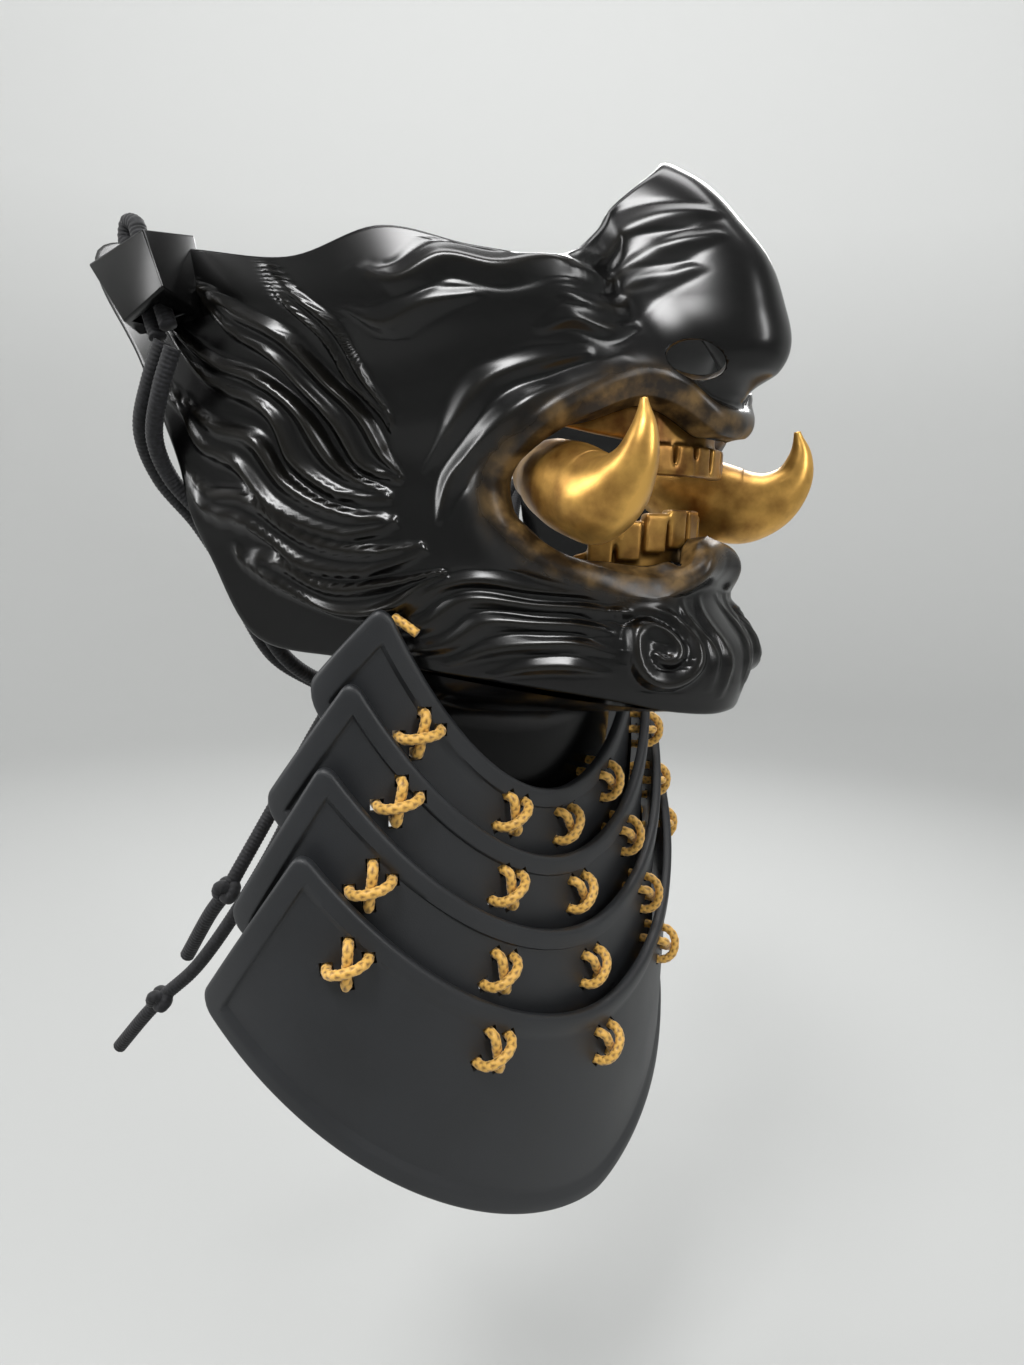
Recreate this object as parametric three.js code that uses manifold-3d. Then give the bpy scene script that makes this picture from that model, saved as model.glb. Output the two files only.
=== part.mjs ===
// A fierce half mask with tusks, worn over the lower face, and its throat guard of four laced plates.
// Millimetres, +Z up, the front of the face towards -Y, the wearer's left towards +X.
// The origin lies on the midplane, behind the mouth opening, where the wearer's face meets the mask.
import * as THREE from "three";
import { mergeVertices } from "three/addons/utils/BufferGeometryUtils.js";
import Module from "manifold-3d";

const wasm = await Module();
wasm.setup();

// ---------- driving dimensions ----------
const WALL = 3; // moulded shell
const LIP_DEPTH = 7; // shell at the edge of the mouth, front to back
const LIP_ROLL = 2.6; // how far the rounded lip stands out
const LIP_CREST = 4.5; // from the edge of the mouth to the top of that roll, and the roll's half width
const LIP_EDGE = 2.2; // how far the very edge is drawn in
const LIP_EDGE_WIDTH = 1.6;
const LIP_BACK = 8; // how far from the edge the shell is thicker
const GAP = 0.3; // left between pieces that touch
const RING = 78; // mask: steps round the mouth
const OUTER_ROWS = 13; // mask: steps from the lip to the outer edge
const INNER_ROWS = 4; // mask: steps back along the inside
const CROWDING = 1.25; // how much closer together those steps are near the mouth
const PLATE = 2; // throat plate in its field
const BEAD = 1.1; // height of the plate's raised border
const BEAD_WIDTH = 5;
const BEAD_STEP = 0.8; // from the border's top down to the field
const PLATE_CORNER = 4.4; // radius
const PLATE_COLUMNS = 26; // steps along a plate, its border strips included
const LACE = 2.3; // lacing cord, taken as square
const LACE_WIDE = 6.4; // between the holes of one crossed tie, centre to centre, along the plate
const LACE_TALL = 8.8; // and up it
const TIE_SIDES = 4;
const HOLE = LACE + 1.2; // square holes in the plates
const CORD = 4.6; // head cord
const CORD_SIDES = 8;

// ---------- tables ----------
const table = (names, rows) =>
  rows.map((row) => Object.fromEntries(names.split(" ").map((name, i) => [name, row[i]])));

// Plan of the mask at rising heights: half a cubic curve from the midline to the rear edge.
const SECTIONS = table("z front nearX farX farY rearX rearY", [
  [-54, -36, 26, 44, 12, 64, 66],
  [-45, -38, 26, 46, 9, 66, 70],
  [-36, -37.5, 27, 48, 8, 68, 74],
  [-24, -28.5, 29, 52, 9, 71, 81],
  [-16, -31.5, 31, 53, 9, 73, 86],
  [-8, -28, 33, 53, 8, 75, 89],
  [4, -29, 35, 53, 8, 76, 92],
  [16, -34, 36, 55, 8, 78, 96],
  [26, -28, 36, 58, 9, 79, 101],
  [40, -20, 38, 68, 12, 80, 109],
  [58, -12, 40, 75, 20, 81, 120],
  [86, 4, 34, 72, 36, 82, 128],
]);

// The nose: its ridge line, half width and depth back to the cheek, at rising heights.
const NOSE = table("z ridge half depth", [
  [20, -28, 10, 16],
  [25, -31.5, 15, 22],
  [28.5, -35.5, 19, 26],
  [32, -41.5, 22, 33],
  [38.5, -44, 22.5, 34],
  [48, -41.5, 20, 31],
  [58, -37, 18, 29],
  [67, -29.5, 17, 25],
  [77, -19.5, 15, 19],
  [84, -8, 13, 12],
  [90, 2, 10, 8],
]);
const NOSE_ROUND = 2.4; // how full the sides of the nose are
const NOSE_BLEND = 7; // width of the hollow where it meets the cheek
const NOSE_FADE = 6; // height over which it grows out of the lip

// Lines across the mask from the edge of the mouth to the outer edge, from the top midline round to the bottom.
const LINES = table("line mouthT mouthZ edgeT edgeZ", [
  [0, 0, 15.5, 0, 84],
  [1, 0.08, 17, 0.05, 82.5],
  [2, 0.16, 22.5, 0.11, 77],
  [3, 0.24, 24.5, 0.2, 64],
  [4, 0.3, 23.5, 0.33, 55],
  [5, 0.36, 21, 0.47, 56],
  [6, 0.42, 17.5, 0.6, 60.5],
  [7, 0.47, 13, 0.74, 54],
  [8, 0.505, 8.5, 0.88, 58.5],
  [9, 0.52, 6, 1, 61],
  [10, 0.532, 3.5, 1, 33],
  [11, 0.535, 1, 1, 8],
  [12, 0.53, -2.5, 1, -16],
  [13, 0.52, -5.5, 1, -40],
  [14, 0.49, -9, 0.86, -44],
  [15, 0.44, -13.5, 0.7, -46],
  [16, 0.36, -17, 0.53, -48],
  [17, 0.28, -19, 0.38, -50],
  [18, 0.2, -19.2, 0.26, -52],
  [19, 0.13, -15.5, 0.16, -53],
  [20, 0.06, -10, 0.07, -53.5],
  [21, 0, -8.2, 0, -53.5],
]);
const LAST_LINE = LINES.length - 1;

// Rounded forms on the mask, the same on both sides: place, radii and how far they stand out.
const FORMS = table("x z wide high proud", [
  [15, 36, 8, 8, 5], // wing of the nose
  [38, 46, 11, 10, 4.5], // ball of the cheek
  [60, 44, 16, 10, 3], // cheekbone
  [24, 50, 5, 9, -3], // hollow beside the nose
  [48, 20, 7, 12, 2.5], // fold from the nose to the corner of the mouth
  [56, 6, 9, 12, -2], // hollow behind the mouth
  [20, -40, 10, 9, 2.5], // curl on the chin
]);

// The four throat plates: plan as for the mask, where the top edge ends, and the heights of both edges.
const PLATES = table("front nearX farX farY rearX rearY topT topMid topEnd lowMid lowEnd", [
  [15, 39, 64.8, 27.4, 68, 47, 0.68, -83.5, -27, -122, -50],
  [9, 41.5, 73.5, 23.2, 75.7, 54, 0.72, -102, -45, -143, -80],
  [3, 44, 81.3, 20.6, 83.2, 58.5, 0.74, -122, -65, -165, -110],
  [-3, 46, 88.4, 18.5, 90.5, 61, 0.75, -145, -86, -207, -131],
]);
const TOP_CURVE = 1.8; // how late the top edge turns up towards its ends
const LOW_CURVE = 1.5;

// The crossed ties on each plate: where along the plan, how high, and how far they turn with the plate's slope.
const TIES = table("midZ innerT innerZ innerTurn outerT outerZ outerTurn", [
  [-94.8, 0.22, -86.6, 0.4, 0.55, -61, 0.8],
  [-114.5, 0.26, -105, 0.4, 0.585, -77, 0.75],
  [-136, 0.3, -125.5, 0.4, 0.625, -97, 0.7],
  [-158, 0.33, -144, 0.4, 0.65, -115, 0.65],
]);

// The short tie behind a top corner of the first plate, on the wearer's left.
const CORNER_TIE = table("x y z radius", [
  [55.6, 30, -31.4, 1.1],
  [54.5, 27, -33.2, 1.35],
  [53.2, 24, -35.2, 1.1],
]);

// The throat flange: from the jaw to behind the first plate.
const FLANGE = {
  jawZ: -48,
  jawT: 0.75,
  jawMid: -52.4,
  jawRise: 6.6,
  jawInset: 1.4,
  plateT: 0.6,
  behind: 5.2,
  topMid: -60,
  topRise: 8,
  topHeight: 5,
  lowMid: -105,
  lowRise: 38,
};

// Corners of the cord block on the wearer's left: out 1 is the outer face, up 1 the top, back 1 the rear.
const BLOCK = table("out up back x y z", [
  [0, 0, 0, 73, 79, 40],
  [0, 1, 0, 74, 85, 62],
  [0, 0, 1, 78, 104, 38],
  [0, 1, 1, 78, 121, 59],
  [1, 0, 0, 91, 73, 45],
  [1, 1, 0, 90, 83, 59.5],
  [1, 0, 1, 89, 94, 39],
  [1, 1, 1, 88, 112, 55],
]);

// Middle of the two cords through the block, top and bottom.
const CHANNEL = table("x y z", [
  [82.6, 99, 61],
  [83.4, 87, 40],
]);
const CHANNEL_SPARE = { long: 2.4, wide: 1.2 }; // room in the slot beside the two cords, and across them

const NOSTRIL = { x: 14.5, y: -28, z: 33, wide: 8, long: 6.6, high: 4.6, tip: 0.25, splay: 0.35 };

// The crest line of a tusk on the wearer's left, root to tip.
const TUSK = table("x y z radius", [
  [27.5, 9, 6, 6.5],
  [29.5, 2.5, 4.7, 9.7],
  [34, -8, 2, 11.2],
  [38.5, -18, 0, 10.6],
  [41.5, -25.5, 2.5, 8.2],
  [43, -30.5, 8, 5.4],
  [43, -32, 14.5, 3.2],
  [42, -31, 21, 0.6],
]);

// Each row of teeth: the plan of its gum, and the heights of the gum and of the teeth.
const GUM = 3.5;
const TOOTH = 2.4; // how far a tooth stands in front of its gum
const TEETH = table(
  "name front nearX farX farY rearX rearY gumRoot gumFree gumRise gumReach teeth reach root tip dip",
  [
    ["teeth_upper", -24.4, 20, 31, 0, 32, 15, 27, 12.5, 9, 1, 6, 0.32, 13.5, 6, 0],
    ["teeth_lower", -19, 18, 28, 2, 30, 15, -23, -10, -12, 0.62, 8, 0.55, -12, -2, 7],
  ],
);

// Half the head cord's slack run from the bottom of a cord block to the middle, on the wearer's left.
const CORD_RUN = table("x y z", [
  [83.7, 83.2, 33.6],
  [85, 87, 24],
  [83, 94, 12],
  [76, 97.5, 1],
  [68, 93, -10],
  [63, 87, -22],
  [59, 83, -35],
  [51, 81, -48],
  [38, 80, -56.5],
  [20, 79, -60.5],
  [0, 78, -61.5],
]);

// Where the head cord is tied, and its two free ends: each runs to a stopper knot, and its tail goes on.
const TIE_KNOT = { x: -22, y: 85, z: -60.5 };
const KNOT = 6; // radius of the tie
const KNOT_REACH = 8; // how near its centre the two strands leave their run and turn in to it
const STOP_KNOT = 4.8; // radius of a stopper knot
const FREE_ENDS = [
  {
    run: table("x y z", [
      [-26, 86, -66],
      [-33, 88.5, -78],
      [-45, 91, -97],
      [-57, 93, -115],
      [-60, 94.5, -121],
    ]),
    tail: table("x y z", [
      [-60, 94.5, -121],
      [-62, 100, -129],
      [-63, 112, -147],
    ]),
  },
  {
    run: table("x y z", [
      [-19, 89, -66],
      [-24, 95, -85],
      [-39, 103, -120],
      [-55, 118, -155],
      [-62.5, 128.5, -168],
    ]),
    tail: table("x y z", [
      [-62.5, 128.5, -168],
      [-65, 134, -175],
      [-68, 145.5, -189.5],
    ]),
  },
];

// ---------- small tools ----------
const UP = new THREE.Vector3(0, 0, 1);
const clamp = (value, low, high) => Math.min(high, Math.max(low, value));

// A smooth value of every column of a table at one value of its key column.
function rowAt(rows, key, at) {
  const last = rows.length - 1;
  const i = clamp(rows.findIndex((row) => row[key] > at) - 1, 0, last - 1);
  const low = at >= rows[last][key] ? last - 1 : i;
  const [a, b] = [rows[low], rows[low + 1]];
  const span = b[key] - a[key];
  const f = clamp((at - a[key]) / span, 0, 1);
  const slope = (n, name) => {
    const [p, q] = [rows[Math.max(n - 1, 0)], rows[Math.min(n + 1, last)]];
    return (q[name] - p[name]) / (q[key] - p[key]);
  };
  const out = {};
  for (const name of Object.keys(a)) {
    out[name] =
      (1 + 2 * f) * (1 - f) ** 2 * a[name] +
      f * (1 - f) ** 2 * span * slope(low, name) +
      f * f * (3 - 2 * f) * b[name] +
      f * f * (f - 1) * span * slope(low + 1, name);
  }
  return out;
}

// A point of a plan curve: t runs from 0 at the midline to 1 at the rear end, negative on the wearer's right.
function planPoint(plan, t) {
  const q = Math.abs(t);
  const r = 1 - q;
  const x = 3 * r * r * q * plan.nearX + 3 * r * q * q * plan.farX + q ** 3 * plan.rearX;
  const y = r * r * (r + 3 * q) * plan.front + 3 * r * q * q * plan.farY + q ** 3 * plan.rearY;
  return new THREE.Vector2(Math.sign(t) * x, y);
}

// The level direction that points out of a plan curve.
function planNormal(plan, t) {
  const step = 0.004;
  const along = planPoint(plan, t + step).sub(planPoint(plan, t - step));
  return new THREE.Vector2(along.y, -along.x).normalize();
}

function smoothMin(a, b, reach) {
  const h = Math.max(reach - Math.abs(a - b), 0) / reach;
  return Math.min(a, b) - (h * h * reach) / 4;
}

// Moves every vertex of a three.js geometry to where place(x, y, z, index) says, and merges its seams.
function shaped(geometry, place) {
  const g = geometry.clone();
  g.deleteAttribute("normal");
  g.deleteAttribute("uv");
  const at = g.attributes.position;
  for (let i = 0; i < at.count; i++) {
    const p = place(at.getX(i), at.getY(i), at.getZ(i), i);
    at.setXYZ(i, p.x, p.y, p.z);
  }
  return mergeVertices(g, 1e-4);
}

// A closed geometry as a manifold-3d solid, turned the right way out.
function solid(geometry) {
  const g = geometry.clone();
  g.deleteAttribute("normal");
  g.deleteAttribute("uv");
  const merged = mergeVertices(g, 1e-4);
  const index = merged.index.array;
  const triangles = [];
  for (let i = 0; i < index.length; i += 3) {
    const [a, b, c] = [index[i], index[i + 1], index[i + 2]];
    if (a !== b && b !== c && c !== a) triangles.push(a, b, c);
  }
  const make = (list) =>
    new wasm.Manifold(
      new wasm.Mesh({
        numProp: 3,
        vertProperties: merged.attributes.position.array,
        triVerts: new Uint32Array(list),
      }),
    );
  const made = make(triangles);
  return made.volume() > 0 ? made : make(triangles.reverse());
}

function geometryOf(manifold) {
  const mesh = manifold.getMesh();
  const g = new THREE.BufferGeometry();
  g.setAttribute("position", new THREE.BufferAttribute(mesh.vertProperties, 3));
  g.setIndex(new THREE.BufferAttribute(mesh.triVerts, 1));
  g.computeVertexNormals();
  return g;
}

const guard = new THREE.Group();
function addPiece(name, manifold, material) {
  const mesh = new THREE.Mesh(geometryOf(manifold), material);
  mesh.name = name;
  guard.add(mesh);
}

// A box laid from one point to another, with its width along a given direction.
function beam(from, to, width, height, across) {
  const along = to.clone().sub(from);
  const x = across.clone().normalize();
  const z = along.clone().normalize();
  const y = new THREE.Vector3().crossVectors(z, x).normalize();
  const g = new THREE.BoxGeometry(width, height, along.length());
  g.applyMatrix4(new THREE.Matrix4().makeBasis(x, y, z));
  g.translate(...from.clone().add(to).multiplyScalar(0.5).toArray());
  return solid(g);
}

// A rod of straight stretches with mitred corners: a centre and a radius for each corner, open or a closed ring.
// Its first edge faces side, and its section is carried round each corner without a twist.
function rod(points, radii, sides, side, closed = false) {
  const n = points.length;
  const legs = points.map((p, i) => points[(i + 1) % n].clone().sub(p).normalize());
  if (!closed) legs[n - 1].copy(legs[n - 2]);
  const spokes = [side.clone().addScaledVector(legs[0], -side.dot(legs[0])).normalize()];
  for (let i = 1; i < n; i++) {
    const turn = new THREE.Quaternion().setFromUnitVectors(legs[i - 1], legs[i]);
    spokes.push(spokes[i - 1].clone().applyQuaternion(turn));
  }
  const corner = (i, angle) => {
    const leg = i > 0 || closed ? (i - 1 + n) % n : 0;
    const before = legs[leg];
    const u = spokes[leg];
    const v = new THREE.Vector3().crossVectors(before, u);
    const spoke = u.clone().multiplyScalar(Math.cos(angle)).addScaledVector(v, Math.sin(angle));
    const mitre = before.clone().add(legs[i]).normalize();
    spoke.addScaledVector(before, -spoke.dot(mitre) / before.dot(mitre));
    return spoke.multiplyScalar(radii[i]).add(points[i]);
  };
  if (closed) {
    const ring = new THREE.TorusGeometry(2, 1, sides, n);
    const step = (2 * Math.PI) / sides;
    return solid(shaped(ring, (x, y, z, i) => corner((i % (n + 1)) % n, Math.floor(i / (n + 1)) * step)));
  }
  const bar = new THREE.CylinderGeometry(1, 1, 1, sides, n - 1);
  return solid(
    shaped(bar, (x, y, z) => {
      const i = Math.round((y + 0.5) * (n - 1));
      return Math.hypot(x, z) < 0.5 ? points[i].clone() : corner(i, Math.atan2(z, x));
    }),
  );
}

// A round tube along a smooth curve through the points.
function tube(points, diameter, steps, sides) {
  const section = new THREE.Shape(
    Array.from({ length: sides }, (_, i) => {
      const a = (i * 2 * Math.PI) / sides;
      return new THREE.Vector2(Math.cos(a), Math.sin(a)).multiplyScalar(diameter / 2);
    }),
  );
  const path = new THREE.CatmullRomCurve3(points, false, "centripetal");
  return solid(new THREE.ExtrudeGeometry(section, { steps, bevelEnabled: false, extrudePath: path }));
}

// ---------- materials ----------
const gloss = new THREE.MeshStandardMaterial({ color: "#16150f", roughness: 0.32, metalness: 0 });
const satin = new THREE.MeshStandardMaterial({ color: "#1b1c1e", roughness: 0.5, metalness: 0 });
const gold = new THREE.MeshStandardMaterial({ color: "#b9853c", roughness: 0.4, metalness: 0.8 });
const braid = new THREE.MeshStandardMaterial({ color: "#c8a35c", roughness: 0.6, metalness: 0 });
const black = new THREE.MeshStandardMaterial({ color: "#101012", roughness: 0.8, metalness: 0 });

// ---------- mask shell ----------
// The skin of the mask at plan place t and height z, before the lip is rolled.
function skin(t, z) {
  const plan = rowAt(SECTIONS, "z", z);
  const p = planPoint(plan, t);
  const out = planNormal(plan, t);
  for (const form of FORMS) {
    const dx = (Math.abs(p.x) - form.x) / form.wide;
    const dz = (z - form.z) / form.high;
    p.addScaledVector(out, form.proud * Math.exp(-dx * dx - dz * dz));
  }
  const nose = rowAt(NOSE, "z", z);
  const noseY = nose.ridge + nose.depth * (Math.abs(p.x) / nose.half) ** NOSE_ROUND;
  const fade = clamp((z - NOSE[0].z) / NOSE_FADE, 0, 1);
  return new THREE.Vector3(p.x, p.y + fade * (smoothMin(p.y, noseY, NOSE_BLEND) - p.y), z);
}

// The skin at one line round the mouth (0 .. 2 * LAST_LINE) and one share of the way out (0 lip .. 1 edge).
function skinAt(line, share) {
  const right = line > LAST_LINE;
  const row = rowAt(LINES, "line", right ? 2 * LAST_LINE - line : line);
  const t = row.mouthT + (row.edgeT - row.mouthT) * share;
  const z = row.mouthZ + (row.edgeZ - row.mouthZ) * share;
  return skin((right ? -1 : 1) * t, z);
}

function outward(line, share) {
  const wrap = 2 * LAST_LINE;
  const a = skinAt((line + 0.2) % wrap, share).sub(skinAt((line - 0.2 + wrap) % wrap, share));
  const b = skinAt(line, clamp(share + 0.01, 0, 1)).sub(skinAt(line, clamp(share - 0.01, 0, 1)));
  return new THREE.Vector3().crossVectors(a, b).normalize();
}

// Height of the rounded lip at a distance from the edge of the mouth.
function lipRoll(distance) {
  const d = distance / LIP_CREST - 1;
  return LIP_ROLL * Math.exp(-d * d) - LIP_EDGE * Math.exp(-distance / LIP_EDGE_WIDTH);
}

const rows = 2 + OUTER_ROWS + INNER_ROWS;
function shellPoint(column, row) {
  const line = (column * 2 * LAST_LINE) / RING;
  const outside = row <= OUTER_ROWS;
  const back = (row - OUTER_ROWS - 1) / INNER_ROWS;
  const share = outside ? (row / OUTER_ROWS) ** CROWDING : clamp(1 - back, 0, 1) ** CROWDING;
  const p = skinAt(line, share);
  const out = outward(line, share);
  const distance = p.distanceTo(skinAt(line, 0));
  if (outside) return p.addScaledVector(out, lipRoll(distance));
  return p.addScaledVector(out, -WALL - (LIP_DEPTH - WALL) * Math.exp(-((distance / LIP_BACK) ** 2)));
}

function faceShell() {
  const ring = new THREE.TorusGeometry(2, 1, rows, RING);
  return solid(
    shaped(ring, (x, y, z, i) => shellPoint((i % (RING + 1)) % RING, Math.floor(i / (RING + 1)) % rows)),
  );
}

// The underside of the chin and the flange that goes down behind the first plate.
function throatFlange() {
  const jaw = rowAt(SECTIONS, "z", FLANGE.jawZ);
  const place = (x, y, z) => {
    const across = 2 * x;
    const width = Math.abs(across);
    const row = Math.round((0.5 - y) * 3);
    const inner = z > 0 ? 0 : 1;
    if (row === 0) {
      const at = FLANGE.jawT * across;
      const p = planPoint(jaw, at).addScaledVector(planNormal(jaw, at), -FLANGE.jawInset);
      return new THREE.Vector3(p.x, p.y, FLANGE.jawMid + FLANGE.jawRise * width ** 2 + inner * WALL);
    }
    const t = FLANGE.plateT * across;
    const side = planNormal(PLATES[0], t);
    const p = planPoint(PLATES[0], t).addScaledVector(side, -FLANGE.behind - inner * WALL);
    const top = FLANGE.topMid + FLANGE.topRise * width ** 2;
    const low = FLANGE.lowMid + FLANGE.lowRise * width ** LOW_CURVE;
    return new THREE.Vector3(p.x, p.y, row === 3 ? low : row === 2 ? top - FLANGE.topHeight : top + inner * WALL);
  };
  return solid(shaped(new THREE.BoxGeometry(1, 1, 1, 20, 3, 1), place));
}

// The faceted block at a rear top corner that the head cord passes through, on side -1 (right) or 1 (left).
function cordBlock(side) {
  const place = (x, y, z) => {
    const is = (flag, value) => flag === (value > 0 ? 1 : 0);
    const corner = BLOCK.find((c) => is(c.out, x) && is(c.up, z) && is(c.back, y));
    return new THREE.Vector3(side * corner.x, corner.y, corner.z);
  };
  return solid(shaped(new THREE.BoxGeometry(1, 1, 1), place));
}

function cordSlot(side) {
  const [from, to] = CHANNEL.map((p) => new THREE.Vector3(side * p.x, p.y, p.z));
  const long = 2 * CORD + CHANNEL_SPARE.long;
  const across = new THREE.Vector3(0, 1, 0);
  return beam(from.clone().lerp(to, -1), from.clone().lerp(to, 2), long, CORD + CHANNEL_SPARE.wide, across);
}

function nostril(side) {
  const hole = new THREE.SphereGeometry(1, 10, 6);
  hole.scale(NOSTRIL.wide, NOSTRIL.long, NOSTRIL.high);
  hole.rotateX(NOSTRIL.tip);
  hole.rotateZ(side * NOSTRIL.splay);
  hole.translate(side * NOSTRIL.x, NOSTRIL.y, NOSTRIL.z);
  return solid(hole);
}

function maskShell() {
  let shell = faceShell();
  for (const side of [-1, 1]) {
    shell = shell.add(cordBlock(side));
    shell = shell.subtract(cordSlot(side)).subtract(nostril(side));
  }
  return shell.add(throatFlange());
}

// ---------- throat plates ----------
function planLength(plan) {
  let length = 0;
  for (let i = -50; i < 50; i++) length += planPoint(plan, i / 50).distanceTo(planPoint(plan, (i + 1) / 50));
  return length;
}

function platePoint(plate, across, down, side) {
  const width = Math.abs(across);
  const t = across * (plate.topT + (1 - plate.topT) * down);
  const top = plate.topMid + (plate.topEnd - plate.topMid) * width ** TOP_CURVE;
  const low = plate.lowMid + (plate.lowEnd - plate.lowMid) * width ** LOW_CURVE;
  const p = planPoint(plate, t).addScaledVector(planNormal(plate, t), side);
  return new THREE.Vector3(p.x, p.y, top + (low - top) * down);
}

// A plate as a loop of eight corners, carried from end to end: raised border, field, raised border, flat back.
function platePiece(plate) {
  const inset = [0, 0.3 * PLATE_CORNER, PLATE_CORNER, BEAD_WIDTH, BEAD_WIDTH + BEAD_STEP];
  const last = inset.length - 1;
  const long = planLength(plate) / 2;
  const rest = 1 - inset[last] / long;
  const acrossAt = (i) => {
    const edge = Math.min(i, PLATE_COLUMNS - i);
    if (edge < last) return (i < last ? -1 : 1) * (1 - inset[edge] / long);
    return -rest + ((i - last) * 2 * rest) / (PLATE_COLUMNS - 2 * last);
  };
  const corner = (i, j) => {
    const across = acrossAt(i);
    const edge = Math.min(i, PLATE_COLUMNS - i);
    const tall = platePoint(plate, across, 0, 0).distanceTo(platePoint(plate, across, 1, 0));
    const short = edge < last ? Math.max(PLATE_CORNER - inset[edge], 0) : 0;
    const round = (PLATE_CORNER - Math.sqrt(PLATE_CORNER ** 2 - short ** 2)) / tall;
    const down = [round, round, inset[last - 1] / tall, inset[last] / tall];
    const raised = [0, PLATE + BEAD, PLATE + BEAD, PLATE + (edge < last ? BEAD : 0)];
    if (j < 4) return platePoint(plate, across, down[j], raised[j]);
    return platePoint(plate, across, 1 - down[7 - j], raised[7 - j]);
  };
  const place = (x, y, z) => {
    const i = Math.round((y + 0.5) * PLATE_COLUMNS);
    if (Math.hypot(x, z) < 0.5) return platePoint(plate, acrossAt(i), 0.5, PLATE / 2);
    const j = Math.round((Math.atan2(z, x) / (2 * Math.PI) + 1) * 8) % 8;
    return corner(i, j);
  };
  return solid(shaped(new THREE.CylinderGeometry(1, 1, 1, 8, PLATE_COLUMNS), place));
}

// ---------- tusks and teeth ----------
function tusk(side) {
  const points = TUSK.map((row) => new THREE.Vector3(side * row.x, row.y, row.z));
  return rod(points, TUSK.map((row) => row.radius), 10, new THREE.Vector3(-side, 0, 0));
}
addPiece("tusk_right", tusk(-1), gold);
addPiece("tusk_left", tusk(1), gold);

function teethRow(row) {
  const level = (t) => row.dip * (Math.abs(t) / 0.5) ** 2;
  const gum = shaped(new THREE.BoxGeometry(1, 1, 1, 14, 1, 1), (x, y, z) => {
    const t = 2 * x * row.gumReach;
    const p = planPoint(row, t).addScaledVector(planNormal(row, t), z > 0 ? 0 : -GUM);
    const free = row.gumFree + row.gumRise * t * t;
    return new THREE.Vector3(p.x, p.y, y > 0 ? row.gumRoot : free);
  });
  let made = solid(gum);
  const half = row.reach / row.teeth;
  for (let i = 0; i < row.teeth; i++) {
    const t = -row.reach + (2 * i + 1) * half;
    const tooth = shaped(new THREE.BoxGeometry(1, 1, 1), (x, y, z) => {
      const tip = y > 0;
      const at = t + 2 * x * half * (tip ? 0.9 : 0.82);
      const p = planPoint(row, at).addScaledVector(planNormal(row, at), z > 0 ? TOOTH : -GUM / 2);
      return new THREE.Vector3(p.x, p.y, (tip ? row.tip : row.root) - level(t));
    });
    made = made.add(solid(tooth));
  }
  return made;
}
for (const row of TEETH) addPiece(row.name, teethRow(row), gold);

// ---------- crossed ties ----------
// Where one tie sits on its plate: its middle on the plate's inner face, outward, along and up.
function tiePlace(plate, t, z, turn) {
  const n = planNormal(plate, t);
  const p = planPoint(plate, t);
  const out = new THREE.Vector3(n.x, n.y, 0);
  const along = new THREE.Vector3(-n.y, n.x, Math.sign(t) * Math.tan(turn)).normalize();
  return { middle: new THREE.Vector3(p.x, p.y, z), out, along, up: new THREE.Vector3().crossVectors(out, along) };
}

function tiePoint(place, along, up, out) {
  const p = place.middle.clone().addScaledVector(place.along, along).addScaledVector(place.out, out);
  return p.addScaledVector(place.up, up);
}

// How far behind a plate the one that carries it ends: the plate before it, or the throat flange.
function carrierDepth(number, place) {
  if (number === 0) return FLANGE.behind + WALL;
  let nearest = Infinity;
  for (let t = -1; t <= 1; t += 0.01) {
    const p = planPoint(PLATES[number - 1], t);
    nearest = Math.min(nearest, Math.hypot(p.x - place.middle.x, p.y - place.middle.y));
  }
  return nearest;
}

const WIDE = LACE_WIDE / 2;
const TALL = LACE_TALL / 2;
const OVER = 0.42; // share of the upper strand that is raised, over the lower one
const THROUGH = 3; // how far the cuts go past the faces of a plate
const CORNERS = [
  [-WIDE, -TALL],
  [-WIDE, TALL],
  [WIDE, -TALL],
  [WIDE, TALL],
];

// One loop of cord: it crosses over itself in front of the plate, goes through the plate and its carrier, and
// closes with two upright stretches behind them.
function crossedTie(place, depth) {
  const low = PLATE + LACE / 2 + GAP;
  const high = low + LACE + GAP;
  const back = -depth - GAP - LACE / 2;
  const points = [
    tiePoint(place, -WIDE, TALL, back),
    tiePoint(place, -WIDE, TALL, low),
    tiePoint(place, WIDE, -TALL, low),
    tiePoint(place, WIDE, -TALL, back),
    tiePoint(place, WIDE, TALL, back),
    tiePoint(place, WIDE, TALL, low),
    tiePoint(place, OVER * WIDE, OVER * TALL, high),
    tiePoint(place, -OVER * WIDE, -OVER * TALL, high),
    tiePoint(place, -WIDE, -TALL, low),
    tiePoint(place, -WIDE, -TALL, back),
  ];
  const flat = tiePoint(place, TALL + WIDE, WIDE - TALL, 0).sub(place.middle); // lays the square section flat
  return rod(points, Array(points.length).fill(LACE / Math.SQRT2), TIE_SIDES, flat, true);
}

function hole(place, along, up, from, to, wide) {
  const across = tiePoint(place, 1, 1, 0).sub(place.middle);
  return beam(tiePoint(place, along, up, from), tiePoint(place, along, up, to), wide, wide, across);
}

function slot(place, along, from, to) {
  return beam(tiePoint(place, along, 0, from), tiePoint(place, along, 0, to), HOLE, LACE_TALL + HOLE, place.along);
}

// The short tie behind each top corner of the first plate, between it and the jaw.
for (const [name, side] of [["right", -1], ["left", 1]]) {
  const points = CORNER_TIE.map((row) => new THREE.Vector3(side * row.x, row.y, row.z));
  addPiece("corner_tie_" + name, rod(points, CORNER_TIE.map((row) => row.radius), 6, UP), braid);
}

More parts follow.
